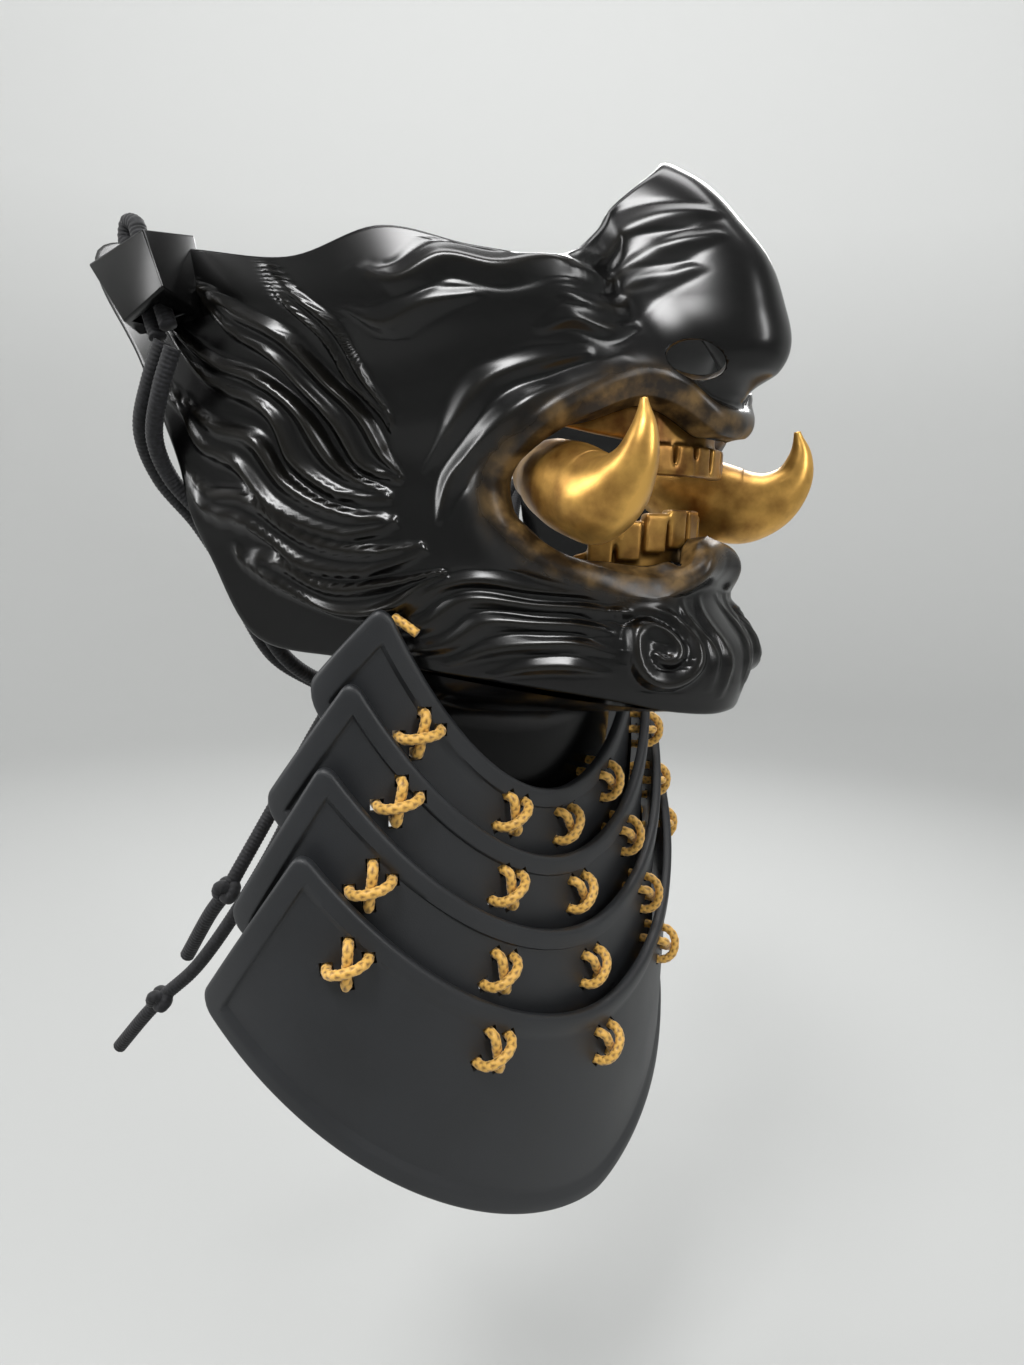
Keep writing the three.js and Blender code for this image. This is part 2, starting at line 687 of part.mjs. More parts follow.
let mask = maskShell();
const plates = PLATES.map(platePiece);
TIES.forEach((row, number) => {
  const stops = [
    [-row.outerT, row.outerZ, row.outerTurn],
    [-row.innerT, row.innerZ, row.innerTurn],
    [0, row.midZ, 0],
    [row.innerT, row.innerZ, row.innerTurn],
    [row.outerT, row.outerZ, row.outerTurn],
  ];
  stops.forEach(([t, z, turn], column) => {
    const place = tiePlace(PLATES[number], t, z, turn);
    const depth = carrierDepth(number, place);
    for (const [a, b] of CORNERS) {
      plates[number] = plates[number].subtract(hole(place, a, b, -THROUGH, PLATE + THROUGH, HOLE));
    }
    for (const a of [-WIDE, WIDE]) {
      const cut = slot(place, a, -1, -depth - THROUGH);
      if (number === 0) mask = mask.subtract(cut);
      else plates[number - 1] = plates[number - 1].subtract(cut);
    }
    addPiece("lace_" + (number + 1) + "_" + (column + 1), crossedTie(place, depth), braid);
  });
});
plates.forEach((plate, i) => addPiece("lame_" + (i + 1), plate, satin));
addPiece("mask_shell", mask, gloss);

// ---------- head cord ----------
const vector = (row, side) => new THREE.Vector3(side * row.x, row.y, row.z);
const SPREAD = CORD / 2 + 0.3; // half the distance between the two strands
const BIGHT_END = 3.5; // how far the doubled cord comes out below its block
const BIGHT_TOP = 2; // and how high its turn starts above it

// The doubled cord through a block: down one side of the slot and up the other, over a short turn on top.
function bight(side) {
  const [top, low] = CHANNEL.map((row) => vector(row, side));
  const along = low.clone().sub(top).normalize();
  const across = new THREE.Vector3(0, 1, 0).addScaledVector(along, -along.y).normalize();
  const end = low.clone().addScaledVector(along, BIGHT_END);
  const crown = top.clone().addScaledVector(along, -BIGHT_TOP);
  const down = [crown, top, low, end];
  const strand = (offset) => down.map((p) => p.clone().addScaledVector(across, offset));
  const turn = crown.clone().addScaledVector(along, -SPREAD);
  return tube([...strand(-SPREAD).reverse(), turn, ...strand(SPREAD)], CORD, 14, CORD_SIDES);
}
addPiece("head_cord_bight_right", bight(-1), black);
addPiece("head_cord_bight_left", bight(1), black);

// The run of the cord on one side, moved square to itself by half the distance between the strands.
function run(side, offset) {
  const points = CORD_RUN.map((row) => vector(row, side));
  return points.map((p, i) => {
    const along = points[Math.min(i + 1, points.length - 1)].clone().sub(points[Math.max(i - 1, 0)]).normalize();
    const across = new THREE.Vector3(0, 1, 0).addScaledVector(along, -along.y).normalize();
    return p.clone().addScaledVector(across, offset);
  });
}
const wholeRun = run(-1, -SPREAD).concat(run(1, -SPREAD).reverse().slice(1));
addPiece("head_cord_strand_a", tube(wholeRun, CORD, 26, CORD_SIDES), black);

const tie = vector(TIE_KNOT, 1);
const toKnot = (side) => run(side, SPREAD).filter((p) => side * (p.x - tie.x) > KNOT_REACH);
const rightRun = toKnot(-1).concat([tie.clone().add(new THREE.Vector3(-KNOT, 0, 0))]);
const leftRun = [tie.clone().add(new THREE.Vector3(KNOT, 0, 0))].concat(
  run(-1, SPREAD).filter((p) => p.x - tie.x > KNOT_REACH),
  run(1, SPREAD).reverse().slice(1),
);
addPiece("head_cord_strand_b_right", tube(rightRun, CORD, 10, CORD_SIDES), black);
addPiece("head_cord_strand_b_left", tube(leftRun, CORD, 16, CORD_SIDES), black);

function knot(at, wide, tall) {
  const g = new THREE.SphereGeometry(1, CORD_SIDES, 6);
  g.rotateX(Math.PI / 2);
  g.scale(wide - GAP, wide - GAP, tall - GAP);
  g.translate(at.x, at.y, at.z);
  return solid(g);
}
addPiece("head_cord_tie", knot(tie, KNOT, KNOT), black);

// The points with their first and last drawn in by these lengths.
function trimmed(points, first, last) {
  const drawn = points.map((p) => p.clone());
  const pull = (a, b, length) => a.addScaledVector(b.clone().sub(a).normalize(), length);
  pull(drawn[0], drawn[1], first);
  pull(drawn[drawn.length - 1], drawn[drawn.length - 2], last);
  return drawn;
}

FREE_ENDS.forEach((end, i) => {
  const number = i + 1;
  const points = (rows) => rows.map((row) => vector(row, 1));
  const stop = vector(end.tail[0], 1);
  addPiece("cord_end_" + number, tube(trimmed(points(end.run), 0, STOP_KNOT), CORD, 9, CORD_SIDES), black);
  addPiece("end_knot_" + number, knot(stop, STOP_KNOT, STOP_KNOT), black);
  addPiece("cord_tail_" + number, tube(trimmed(points(end.tail), STOP_KNOT, 0), CORD, 3, CORD_SIDES), black);
});

export default guard;
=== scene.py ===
# Samurai face guard: a fierce half mask with tusks, its head cord, and a throat guard of four laced plates.
import math

import bpy
import numpy as np
from mathutils import Matrix, Vector


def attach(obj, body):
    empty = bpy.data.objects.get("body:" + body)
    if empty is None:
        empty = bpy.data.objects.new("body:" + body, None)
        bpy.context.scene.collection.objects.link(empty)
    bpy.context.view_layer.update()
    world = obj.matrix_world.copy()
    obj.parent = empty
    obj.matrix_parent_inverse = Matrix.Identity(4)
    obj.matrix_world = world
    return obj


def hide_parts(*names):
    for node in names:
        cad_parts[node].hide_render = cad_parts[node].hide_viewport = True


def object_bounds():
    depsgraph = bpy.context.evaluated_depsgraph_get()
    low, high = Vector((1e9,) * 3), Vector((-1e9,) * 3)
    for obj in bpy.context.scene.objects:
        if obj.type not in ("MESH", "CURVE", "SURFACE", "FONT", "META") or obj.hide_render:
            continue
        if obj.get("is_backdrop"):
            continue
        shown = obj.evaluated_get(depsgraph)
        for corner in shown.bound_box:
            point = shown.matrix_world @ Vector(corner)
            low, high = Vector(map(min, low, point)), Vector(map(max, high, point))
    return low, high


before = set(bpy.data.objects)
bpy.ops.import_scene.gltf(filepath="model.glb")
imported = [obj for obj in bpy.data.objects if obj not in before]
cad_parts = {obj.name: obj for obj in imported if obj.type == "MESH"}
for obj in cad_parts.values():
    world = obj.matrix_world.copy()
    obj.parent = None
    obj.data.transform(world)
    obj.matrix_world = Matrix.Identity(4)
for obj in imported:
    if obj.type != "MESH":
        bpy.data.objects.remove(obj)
cad_box = [list(corner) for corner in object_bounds()]
MM = 0.001

# ---------------------------------------------------------------------------------------------------
# Camera. It stands off the wearer's right cheek at mouth height, close in, and looks slightly down.
camera_data = bpy.data.cameras.new("camera")
camera_data.sensor_width = 36
camera_data.lens = 25.71
camera_data.clip_start = 0.01
camera = bpy.data.objects.new("camera", camera_data)
bpy.context.scene.collection.objects.link(camera)
bpy.context.scene.camera = camera
sight = Vector((0.7766, 0.6053, -0.1747)).normalized()
level = Vector((0.6197, -0.7839, 0.0387))
level = (level - level.dot(sight) * sight).normalized()
turned = Matrix((level, level.cross(sight) * -1, -sight)).transposed().to_4x4()
turned[0][1], turned[1][1], turned[2][1] = level.cross(sight)[:]
camera.matrix_world = Matrix.Translation((-0.22962, -0.14425, -0.00365)) @ turned

# ---------------------------------------------------------------------------------------------------
# Head cord: 4.6 mm ribbed polyester cord, woven over a soft core. It goes doubled through the slot in
# each cord block, hangs behind the jaw in two slack strands, and is tied at the wearer's right, where its
# two ends go on to a stopper knot each.
CORD = 4.6
CORD_RIB = 1.15  # from one woven rib to the next
RIB_DEPTH = 0.16
SPREAD = CORD / 2 + 0.3  # half the distance between the two strands
CORD_RUN = [
    (83.7, 83.2, 33.6),
    (85, 87, 24),
    (83, 94, 12),
    (76, 97.5, 1),
    (68, 93, -10),
    (63, 87, -22),
    (59, 83, -35),
    (51, 81, -48),
    (38, 80, -56.5),
    (20, 79, -60.5),
    (0, 78, -61.5),
]
TIE = np.array((-22.0, 85.0, -60.5))
TIE_RADIUS = 6.0
STOP_KNOT = 4.8
SLOT_TOP = np.array((82.6, 99.0, 61.0))  # middle of the cords in the block on the wearer's left
SLOT_LOW = np.array((83.4, 87.0, 40.0))
FREE_ENDS = [
    {
        "run": [(-26, 86, -66), (-33, 88.5, -78), (-45, 91, -97), (-57, 93, -115), (-60, 94.5, -121)],
        "tail": [(-60, 94.5, -121), (-62, 100, -129), (-63, 112, -147)],
    },
    {
        "run": [(-19, 89, -66), (-24, 95, -85), (-39, 103, -120), (-55, 118, -155), (-62.5, 128.5, -168)],
        "tail": [(-62.5, 128.5, -168), (-65, 134, -175), (-68, 145.5, -189.5)],
    },
]


def smooth_line(points, spacing):
    """Evenly spaced points, in mm, on a centripetal curve through given ones."""
    p = np.array(points, float)
    p = np.vstack([2 * p[0] - p[1], p, 2 * p[-1] - p[-2]])
    gaps = np.maximum(np.linalg.norm(np.diff(p, axis=0), axis=1), 1e-6) ** 0.5
    fine = []
    for i in range(1, len(p) - 2):
        a, b, c = gaps[i - 1 : i + 2]
        start = b * ((p[i] - p[i - 1]) / a - (p[i + 1] - p[i - 1]) / (a + b) + (p[i + 1] - p[i]) / b)
        end = b * ((p[i + 1] - p[i]) / b - (p[i + 2] - p[i]) / (b + c) + (p[i + 2] - p[i + 1]) / c)
        f = np.linspace(0, 1, 60)[: 60 if i == len(p) - 3 else -1, None]
        fine.append(
            (1 + 2 * f) * (1 - f) ** 2 * p[i]
            + f * (1 - f) ** 2 * start
            + f * f * (3 - 2 * f) * p[i + 1]
            + f * f * (f - 1) * end
        )
    fine = np.vstack(fine)
    along = np.r_[0, np.cumsum(np.linalg.norm(np.diff(fine, axis=0), axis=1))]
    even = np.linspace(0, along[-1], max(2, round(along[-1] / spacing)) + 1)
    return np.stack([np.interp(even, along, fine[:, k]) for k in range(3)], axis=1)


def shaped_sheet(name, columns, rows, place):
    """A grid primitive whose points go where place(u, v) says, in mm, with its seams merged.

    place may also give marks, by name: a value for each point, for the material to read.
    """
    bpy.ops.object.select_all(action="DESELECT")
    bpy.ops.mesh.primitive_grid_add(x_subdivisions=columns, y_subdivisions=rows, size=2)
    piece = bpy.context.object
    piece.name = piece.data.name = name
    flat = np.empty(len(piece.data.vertices) * 3)
    piece.data.vertices.foreach_get("co", flat)
    flat = flat.reshape(-1, 3)
    placed = place((flat[:, 0] + 1) / 2, (flat[:, 1] + 1) / 2)
    placed, marks = placed if isinstance(placed, tuple) else (placed, {})
    piece.data.vertices.foreach_set("co", (placed * MM).astype(np.float32).ravel())
    for mark, values in marks.items():
        layer = piece.data.attributes.new(mark, "FLOAT", "POINT")
        layer.data.foreach_set("value", values.astype(np.float32))
    piece.data.update()
    bpy.ops.object.mode_set(mode="EDIT")
    bpy.ops.mesh.select_all(action="SELECT")
    bpy.ops.mesh.remove_doubles(threshold=2e-6)
    bpy.ops.mesh.normals_make_consistent(inside=False)
    bpy.ops.object.mode_set(mode="OBJECT")
    bpy.ops.object.shade_smooth()
    return piece


def carried_frames(line):
    """Two directions square to the line at each of its points, carried along without a twist."""
    along = np.gradient(line, axis=0)
    along /= np.linalg.norm(along, axis=1)[:, None]
    side = np.cross(along[0], (0.3, 0.2, 1.0))
    sides = []
    for t in along:
        side = side - side.dot(t) * t
        side /= np.linalg.norm(side)
        sides.append(side)
    sides = np.array(sides)
    return sides, np.cross(along, sides)


def cord_tube(name, line, sides, radius):
    """A closed tube round the line. radius(s, angle) is in mm, s being the length from the line's start."""
    across, over = carried_frames(line)
    along = np.r_[0, np.cumsum(np.linalg.norm(np.diff(line, axis=0), axis=1))]
    count = len(line)

    def place(u, v):
        ring = np.rint(u * (count + 1)).astype(int) - 1
        closed = (ring < 0) | (ring == count)
        ring = np.clip(ring, 0, count - 1)
        angle = 2 * np.pi * np.rint(v * sides) / sides
        angle[np.rint(v * sides) == sides] = 0
        r = np.where(closed, 0, radius(along[ring], angle))[:, None]
        return line[ring] + r * (np.cos(angle)[:, None] * across[ring] + np.sin(angle)[:, None] * over[ring])

    return shaped_sheet(name, count + 1, sides, place)


def ribbed(s, angle):
    return CORD / 2 - RIB_DEPTH * (0.5 - 0.5 * np.cos(2 * np.pi * s / CORD_RIB)) + 0 * angle


def linear(hex_colour):
    """An sRGB hex colour as linear red, green, blue and alpha."""
    parts = [int(hex_colour[i : i + 2], 16) / 255 for i in (1, 3, 5)]
    return tuple(c / 12.92 if c <= 0.04045 else ((c + 0.055) / 1.055) ** 2.4 for c in parts) + (1.0,)


def add_node(tree, kind, inputs=None, **settings):
    """Adds a shader node. inputs maps a socket's name or number to a value or to another node's output."""
    node = tree.nodes.new(kind)
    for key, value in settings.items():
        setattr(node, key, value)
    for key, value in (inputs or {}).items():
        if isinstance(value, bpy.types.NodeSocket):
            tree.links.new(value, node.inputs[key])
        else:
            node.inputs[key].default_value = value
    return node


def new_material(name, roughness, metallic=0.0, ior=1.5):
    material = bpy.data.materials.new(name)
    material.use_nodes = True
    shader = material.node_tree.nodes["Principled BSDF"]
    shader.inputs["Roughness"].default_value = roughness
    shader.inputs["Metallic"].default_value = metallic
    shader.inputs["IOR"].default_value = ior
    return material, material.node_tree, shader


# Woven polyester: matt black yarn that holds a little dust between its ribs.
woven_black, tree, shader = new_material("woven_black_polyester", roughness=0.78)
place = add_node(tree, "ShaderNodeTexCoord")
yarn = add_node(tree, "ShaderNodeTexNoise", {"Vector": place.outputs["Object"], "Scale": 900.0, "Detail": 3.0})
shade = add_node(tree, "ShaderNodeValToRGB", {"Fac": yarn.outputs["Fac"]})
shade.color_ramp.elements[0].position = 0.35
shade.color_ramp.elements[0].color = linear("#0a0a0c")
shade.color_ramp.elements[1].position = 0.75
shade.color_ramp.elements[1].color = linear("#202024")
tree.links.new(shade.outputs["Color"], shader.inputs["Base Color"])
fuzz = add_node(tree, "ShaderNodeBump", {"Height": yarn.outputs["Fac"], "Strength": 0.35, "Distance": 0.0002})
tree.links.new(fuzz.outputs["Normal"], shader.inputs["Normal"])
shader.inputs["Sheen Weight"].default_value = 0.12
shader.inputs["Sheen Roughness"].default_value = 0.4


def finished(piece, material, slot_name, *cad_nodes):
    piece.data.materials.clear()
    piece.data.materials.append(material)
    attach(piece, "root")
    if cad_nodes:
        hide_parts(*cad_nodes)
    return piece


def cord_piece(name, points, *cad_nodes):
    line = smooth_line(points, CORD_RIB / 5)
    return finished(cord_tube(name, line, 12, ribbed), woven_black, "cord", *cad_nodes), line


def mirrored(points, side):
    return np.array(points, float) * (side, 1, 1)


def cord_run(side, offset):
    """One side's run, moved square to itself by half the distance between the strands."""
    points = mirrored(CORD_RUN, side)
    along = np.vstack([points[1] - points[0], points[2:] - points[:-2], points[-1] - points[-2]])
    along /= np.linalg.norm(along, axis=1)[:, None]
    across = np.array((0, 1, 0)) - along[:, 1:2] * along
    across /= np.linalg.norm(across, axis=1)[:, None]
    return points + offset * across


def toward(a, b, distance):
    return a + (b - a) / np.linalg.norm(b - a) * distance


def length_of(line):
    return float(np.linalg.norm(np.diff(line, axis=0), axis=1).sum()) * MM


def knot_piece(name, centre, reach, cad_node):
    """An overhand knot drawn tight: one closed turn of the same cord through itself."""
    turn = np.linspace(0, 2 * np.pi, 120)
    thick = CORD * 0.46
    wide = reach - thick
    shape = np.stack(
        [
            (np.sin(turn) + 2 * np.sin(2 * turn)) * wide / 3,
            (np.cos(turn) - 2 * np.cos(2 * turn)) * wide / 3,
            -np.sin(3 * turn) * wide * 0.62,
        ],
        axis=1,
    )
    line = smooth_line(shape + centre, CORD_RIB / 4)
    tube = cord_tube(name, line, 12, lambda s, angle: thick + (ribbed(s, angle) - CORD / 2) * 0.8)
    return finished(tube, woven_black, "cord", cad_node)


tie_knot = knot_piece("head_cord_knot", TIE, TIE_RADIUS, "head_cord_tie")
strand_a, line_a = cord_piece(
    "head_cord_outer_strand",
    np.vstack([cord_run(-1, -SPREAD), cord_run(1, -SPREAD)[::-1][1:]]),
    "head_cord_strand_a",
)
length_of(line_a)
right_run, left_run = cord_run(-1, SPREAD), cord_run(1, SPREAD)
right_points = np.vstack([right_run[TIE[0] - right_run[:, 0] > 8], TIE - (TIE_RADIUS, 0, 0)])
left_points = np.vstack(
    [TIE + (TIE_RADIUS, 0, 0), right_run[right_run[:, 0] - TIE[0] > 8], left_run[::-1][1:]]
)[::-1]
for name, points, node_name in [
    ("head_cord_inner_strand_right", right_points, "head_cord_strand_b_right"),
    ("head_cord_inner_strand_left", left_points, "head_cord_strand_b_left"),
]:
    strand, line = cord_piece(name, points, node_name)
    length_of(line)
for number, end in enumerate(FREE_ENDS, 1):
    run, tail = np.array(end["run"], float), np.array(end["tail"], float)
    stop = tail[0].copy()
    run[-1] = toward(run[-1], run[-2], STOP_KNOT * 0.5)
    tail[0] = toward(tail[0], tail[1], STOP_KNOT * 0.5)
    knot = knot_piece("stopper_knot_%d" % number, stop, STOP_KNOT, "end_knot_%d" % number)
    tail_piece, _ = cord_piece("free_tail_%d" % number, tail, "cord_tail_%d" % number)
    loose, line = cord_piece("free_end_%d" % number, run, "cord_end_%d" % number)
    length_of(line)
for side, word in [(-1, "right"), (1, "left")]:
    top, low = mirrored(SLOT_TOP, side), mirrored(SLOT_LOW, side)
    along = (low - top) / np.linalg.norm(low - top)
    across = np.array((0, 1, 0)) - along[1] * along
    across /= np.linalg.norm(across)
    down = np.array([top - 2 * along, top, low, low + 3.5 * along])
    bend = top - (2 + SPREAD) * along
    points = np.vstack([(down - SPREAD * across)[::-1], bend, down + SPREAD * across])
    cord_piece("head_cord_turn_%s" % word, points, "head_cord_bight_%s" % word)

# ---------------------------------------------------------------------------------------------------
# Mask: one moulding in gloss black resin about 3 mm thick, thicker round the mouth, with a rolled lip. It
# carries raised locks, folds and wrinkles, and worn bronze paint shows on the lip, nostrils and chin.
WALL = 3.0
LIP_DEPTH, LIP_ROLL, LIP_CREST, LIP_EDGE, LIP_EDGE_WIDTH, LIP_BACK = 7.0, 2.6, 4.5, 2.2, 1.6, 8.0
# height, then half the plan at that height: front y, near x, far x and y, rear x and y
SECTIONS = np.array([
    (-54, -36, 26, 44, 12, 64, 66),
    (-45, -38, 26, 46, 9, 66, 70),
    (-36, -37.5, 27, 48, 8, 68, 74),
    (-24, -28.5, 29, 52, 9, 71, 81),
    (-16, -31.5, 31, 53, 9, 73, 86),
    (-8, -28, 33, 53, 8, 75, 89),
    (4, -29, 35, 53, 8, 76, 92),
    (16, -34, 36, 55, 8, 78, 96),
    (26, -28, 36, 58, 9, 79, 101),
    (40, -20, 38, 68, 12, 80, 109),
    (58, -12, 40, 75, 20, 81, 120),
    (86, 4, 34, 72, 36, 82, 128),
])
# height, then the nose: y of its ridge, half width, depth back to the cheek
NOSE = np.array([
    (20, -28, 10, 16),
    (25, -31.5, 15, 22),
    (28.5, -35.5, 19, 26),
    (32, -41.5, 22, 33),
    (38.5, -44, 22.5, 34),
    (48, -41.5, 20, 31),
    (58, -37, 18, 29),
    (67, -29.5, 17, 25),
    (77, -19.5, 15, 19),
    (84, -8, 13, 12),
    (90, 2, 10, 8),
])
NOSE_ROUND, NOSE_BLEND, NOSE_FADE = 2.4, 7.0, 6.0
# lines from the mouth to the outer edge: place along the plan and height at the mouth, then at the edge
LINES = np.array([
    (0, 15.5, 0, 84),
    (0.08, 17, 0.05, 82.5),
    (0.16, 22.5, 0.11, 77),
    (0.24, 24.5, 0.2, 64),
    (0.3, 23.5, 0.33, 55),
    (0.36, 21, 0.47, 56),
    (0.42, 17.5, 0.6, 60.5),
    (0.47, 13, 0.74, 54),
    (0.505, 8.5, 0.88, 58.5),
    (0.52, 6, 1, 61),
    (0.532, 3.5, 1, 33),
    (0.535, 1, 1, 8),
    (0.53, -2.5, 1, -16),
    (0.52, -5.5, 1, -40),
    (0.49, -9, 0.86, -44),
    (0.44, -13.5, 0.7, -46),
    (0.36, -17, 0.53, -48),
    (0.28, -19, 0.38, -50),
    (0.2, -19.2, 0.26, -52),
    (0.13, -15.5, 0.16, -53),
    (0.06, -10, 0.07, -53.5),
    (0, -8.2, 0, -53.5),
])
LAST_LINE = len(LINES) - 1
# rounded forms: x, z, half width, half height, how far they stand out
FORMS = [
    (15, 36, 8, 8, 5),
    (38, 46, 11, 10, 4.5),
    (60, 44, 16, 10, 3),
    (24, 50, 5, 9, -3),
    (48, 20, 7, 12, 2.5),
    (56, 6, 9, 12, -2),
    (20, -40, 10, 9, 2.5),
]
MASK_COLUMNS, MASK_ROWS, MASK_BACK_ROWS, LIP_ROWS = 480, 150, 14, 8


def values_at(keys, columns, at):
    """Smooth values of the columns at the given keys, as one array per column."""
    last = len(keys) - 1
    low = np.clip(np.searchsorted(keys, at, side="right") - 1, 0, last - 1)
    span = keys[low + 1] - keys[low]
    f = np.clip((at - keys[low]) / span, 0, 1)
    before, after = np.maximum(np.arange(last + 1) - 1, 0), np.minimum(np.arange(last + 1) + 1, last)
    found = []
    for column in columns.T:
        slope = (column[after] - column[before]) / (keys[after] - keys[before])
        found.append(
            (1 + 2 * f) * (1 - f) ** 2 * column[low]
            + f * (1 - f) ** 2 * span * slope[low]
            + f * f * (3 - 2 * f) * column[low + 1]
            + f * f * (f - 1) * span * slope[low + 1]
        )
    return found


def plan_point(plan, t):
    front, near_x, far_x, far_y, rear_x, rear_y = plan
    q = np.abs(t)
    r = 1 - q
    x = 3 * r * r * q * near_x + 3 * r * q * q * far_x + q**3 * rear_x
    y = r * r * (r + 3 * q) * front + 3 * r * q * q * far_y + q**3 * rear_y
    return np.stack([np.sign(t) * x, y], axis=-1)


def plan_normal(plan, t):
    along = plan_point(plan, t + 0.004) - plan_point(plan, t - 0.004)
    out = np.stack([along[..., 1], -along[..., 0]], axis=-1)
    return out / np.linalg.norm(out, axis=-1, keepdims=True)


def mask_skin(t, z):
    plan = values_at(SECTIONS[:, 0], SECTIONS[:, 1:], z)
    p, out = plan_point(plan, t), plan_normal(plan, t)
    for x, height, wide, high, proud in FORMS:
        shape = np.exp(-(((np.abs(p[..., 0]) - x) / wide) ** 2) - ((z - height) / high) ** 2)
        p = p + out * (proud * shape)[..., None]
    ridge, half, depth = values_at(NOSE[:, 0], NOSE[:, 1:], z)
    nose_y = ridge + depth * (np.abs(p[..., 0]) / half) ** NOSE_ROUND
    near = np.maximum(NOSE_BLEND - np.abs(p[..., 1] - nose_y), 0) / NOSE_BLEND
    blended = np.minimum(p[..., 1], nose_y) - near * near * NOSE_BLEND / 4
    fade = np.clip((z - NOSE[0, 0]) / NOSE_FADE, 0, 1)
    return np.stack([p[..., 0], p[..., 1] + fade * (blended - p[..., 1]), z], axis=-1)


def place_on_mask(line, share):
    """Place along the plan and height, at one line round the mouth and one share of the way out."""
    line = np.mod(line, 2 * LAST_LINE)
    right = line > LAST_LINE
    at = np.where(right, 2 * LAST_LINE - line, line)
    mouth_t, mouth_z, edge_t, edge_z = values_at(np.arange(LAST_LINE + 1.0), LINES, at)
    t = mouth_t + (edge_t - mouth_t) * share
    return np.where(right, -t, t), mouth_z + (edge_z - mouth_z) * share


# The relief, one entry for each lock, fold or wrinkle on one side of the face; the other side mirrors it.
# A lock is a flat strap with a rim along each side; a fold is round. Each point is the length round the
# face from its middle, the height, half the width, and how far it stands out.
LOCKS = [
    [(86, 3, 1.2, 1.4), (95, 8, 4, 2.9), (105, 20, 5.4, 3.8), (113, 33, 5, 3.8), (125, 40, 3.6, 2.9), (136, 50, 0.6, 0.9)],
    [(88, -2, 1.2, 1.4), (101, 1, 4, 3.2), (114, 10, 5.4, 3.8), (124, 22, 5.4, 3.8), (138, 29, 4.2, 3.2), (150, 43, 0.6, 0.9)],
    [(86, -8, 1.2, 1.4), (100, -9, 4, 3.2), (117, -3, 5.2, 3.8), (130, 8, 5.2, 3.8), (145, 13, 4, 3.2), (158, 28, 0.6, 0.9)],
    [(80, -14, 1.2, 1.4), (95, -18, 4, 3.2), (112, -16, 5, 3.5), (127, -7, 4.6, 3.5), (141, -4, 3.4, 2.9), (153, 6, 0.6, 0.9)],
    [(74, -20, 1.2, 1.4), (88, -26, 3.8, 2.9), (104, -28, 4.6, 3.2), (119, -22, 4, 3.2), (135, -18, 0.6, 0.9)],
    [(92, 15, 0.8, 1.2), (96, 26, 3, 2.6), (98, 36, 3.2, 2.6), (107, 45, 2.4, 2), (112, 54, 0.5, 0.7)],
]
FOLDS = [
    # from the wing of the nose down round the corner of the mouth
    [(30, 30, 1.6, 0.6), (42, 24.5, 3, 1.8), (55, 20, 3.4, 2.2), (66, 13, 3.2, 2.2), (72, 3, 2.6, 1.6), (74, -7, 1, 0.5)],
    [(38, 33, 1, 0.4), (50, 30, 2, 1.1), (64, 25, 2.2, 1.2), (76, 15, 2, 1), (80, 5, 0.8, 0.3)],
    # the lower lid, over the ball of the cheek
    [(30, 50, 1, 0.4), (42, 52.5, 2.2, 1.5), (54, 50, 2.6, 1.9), (66, 52, 2.6, 1.9), (78, 47, 2.2, 1.5), (88, 50, 0.8, 0.4)],
    [(60, 44, 0.9, 0.4), (72, 42, 2, 1.2), (84, 38, 2.2, 1.3), (92, 41, 0.8, 0.4)],
    # wrinkles on the side of the nose
    [(6, 68, 1, 0.3), (13, 67, 2, 0.8), (20, 61, 2.2, 1), (26, 56, 2, 0.9), (35, 55.5, 0.9, 0.3)],
    [(9, 62, 1, 0.3), (15, 59.5, 2, 0.9), (21, 53, 2.2, 1.1), (28, 49.5, 2, 0.9), (38, 50.5, 0.9, 0.3)],
    [(14, 54, 1, 0.3), (20, 50, 2, 0.9), (25, 44.5, 2.2, 1.1), (33, 43, 2, 0.9), (42, 45, 0.9, 0.3)],
    [(24, 40, 0.9, 0.3), (32, 38.5, 1.9, 1), (40, 40, 1.6, 0.8), (48, 37, 0.8, 0.3)],
    # ribs along the jaw, running in to the curl on the chin
    [(101, -33, 0.8, 0.4), (84, -28, 1.5, 1.3), (66, -21, 1.7, 1.6), (48, -22.5, 1.7, 1.6), (34, -22.5, 1.6, 1.5), (24, -24, 0.8, 0.5)],
    [(98, -37, 0.8, 0.4), (82, -33, 1.5, 1.3), (66, -26, 1.7, 1.6), (50, -26.5, 1.7, 1.6), (38, -27, 1.6, 1.5), (28, -28, 0.8, 0.5)],
    [(94, -41, 0.8, 0.4), (79, -38, 1.5, 1.3), (65, -31.5, 1.7, 1.6), (52, -31, 1.7, 1.6), (42, -31, 1.6, 1.5), (35, -32, 0.8, 0.5)],
    [(78, -43, 0.8, 0.4), (66, -38, 1.6, 1.4), (54, -36, 1.7, 1.6), (44, -35.5, 1.6, 1.4), (37, -37, 0.8, 0.5)],
    [(66, -45, 0.8, 0.4), (56, -42, 1.5, 1.3), (46, -41, 1.6, 1.4), (38, -42, 0.8, 0.5)],
    # the middle of the chin
    [(5, -24, 0.8, 0.4), (7, -31, 1.5, 1.2), (5, -40, 1.5, 1.2), (6, -48, 0.7, 0.3)],
    [(12, -24, 0.8, 0.4), (12.5, -30, 1.4, 1.1), (10, -37, 1.2, 0.8), (11, -46, 0.7, 0.3)],
]
CURL_MIDDLE, CURL_RADIUS, CURL_TURNS = (24, -36), 10.5, 1.75
curl = []
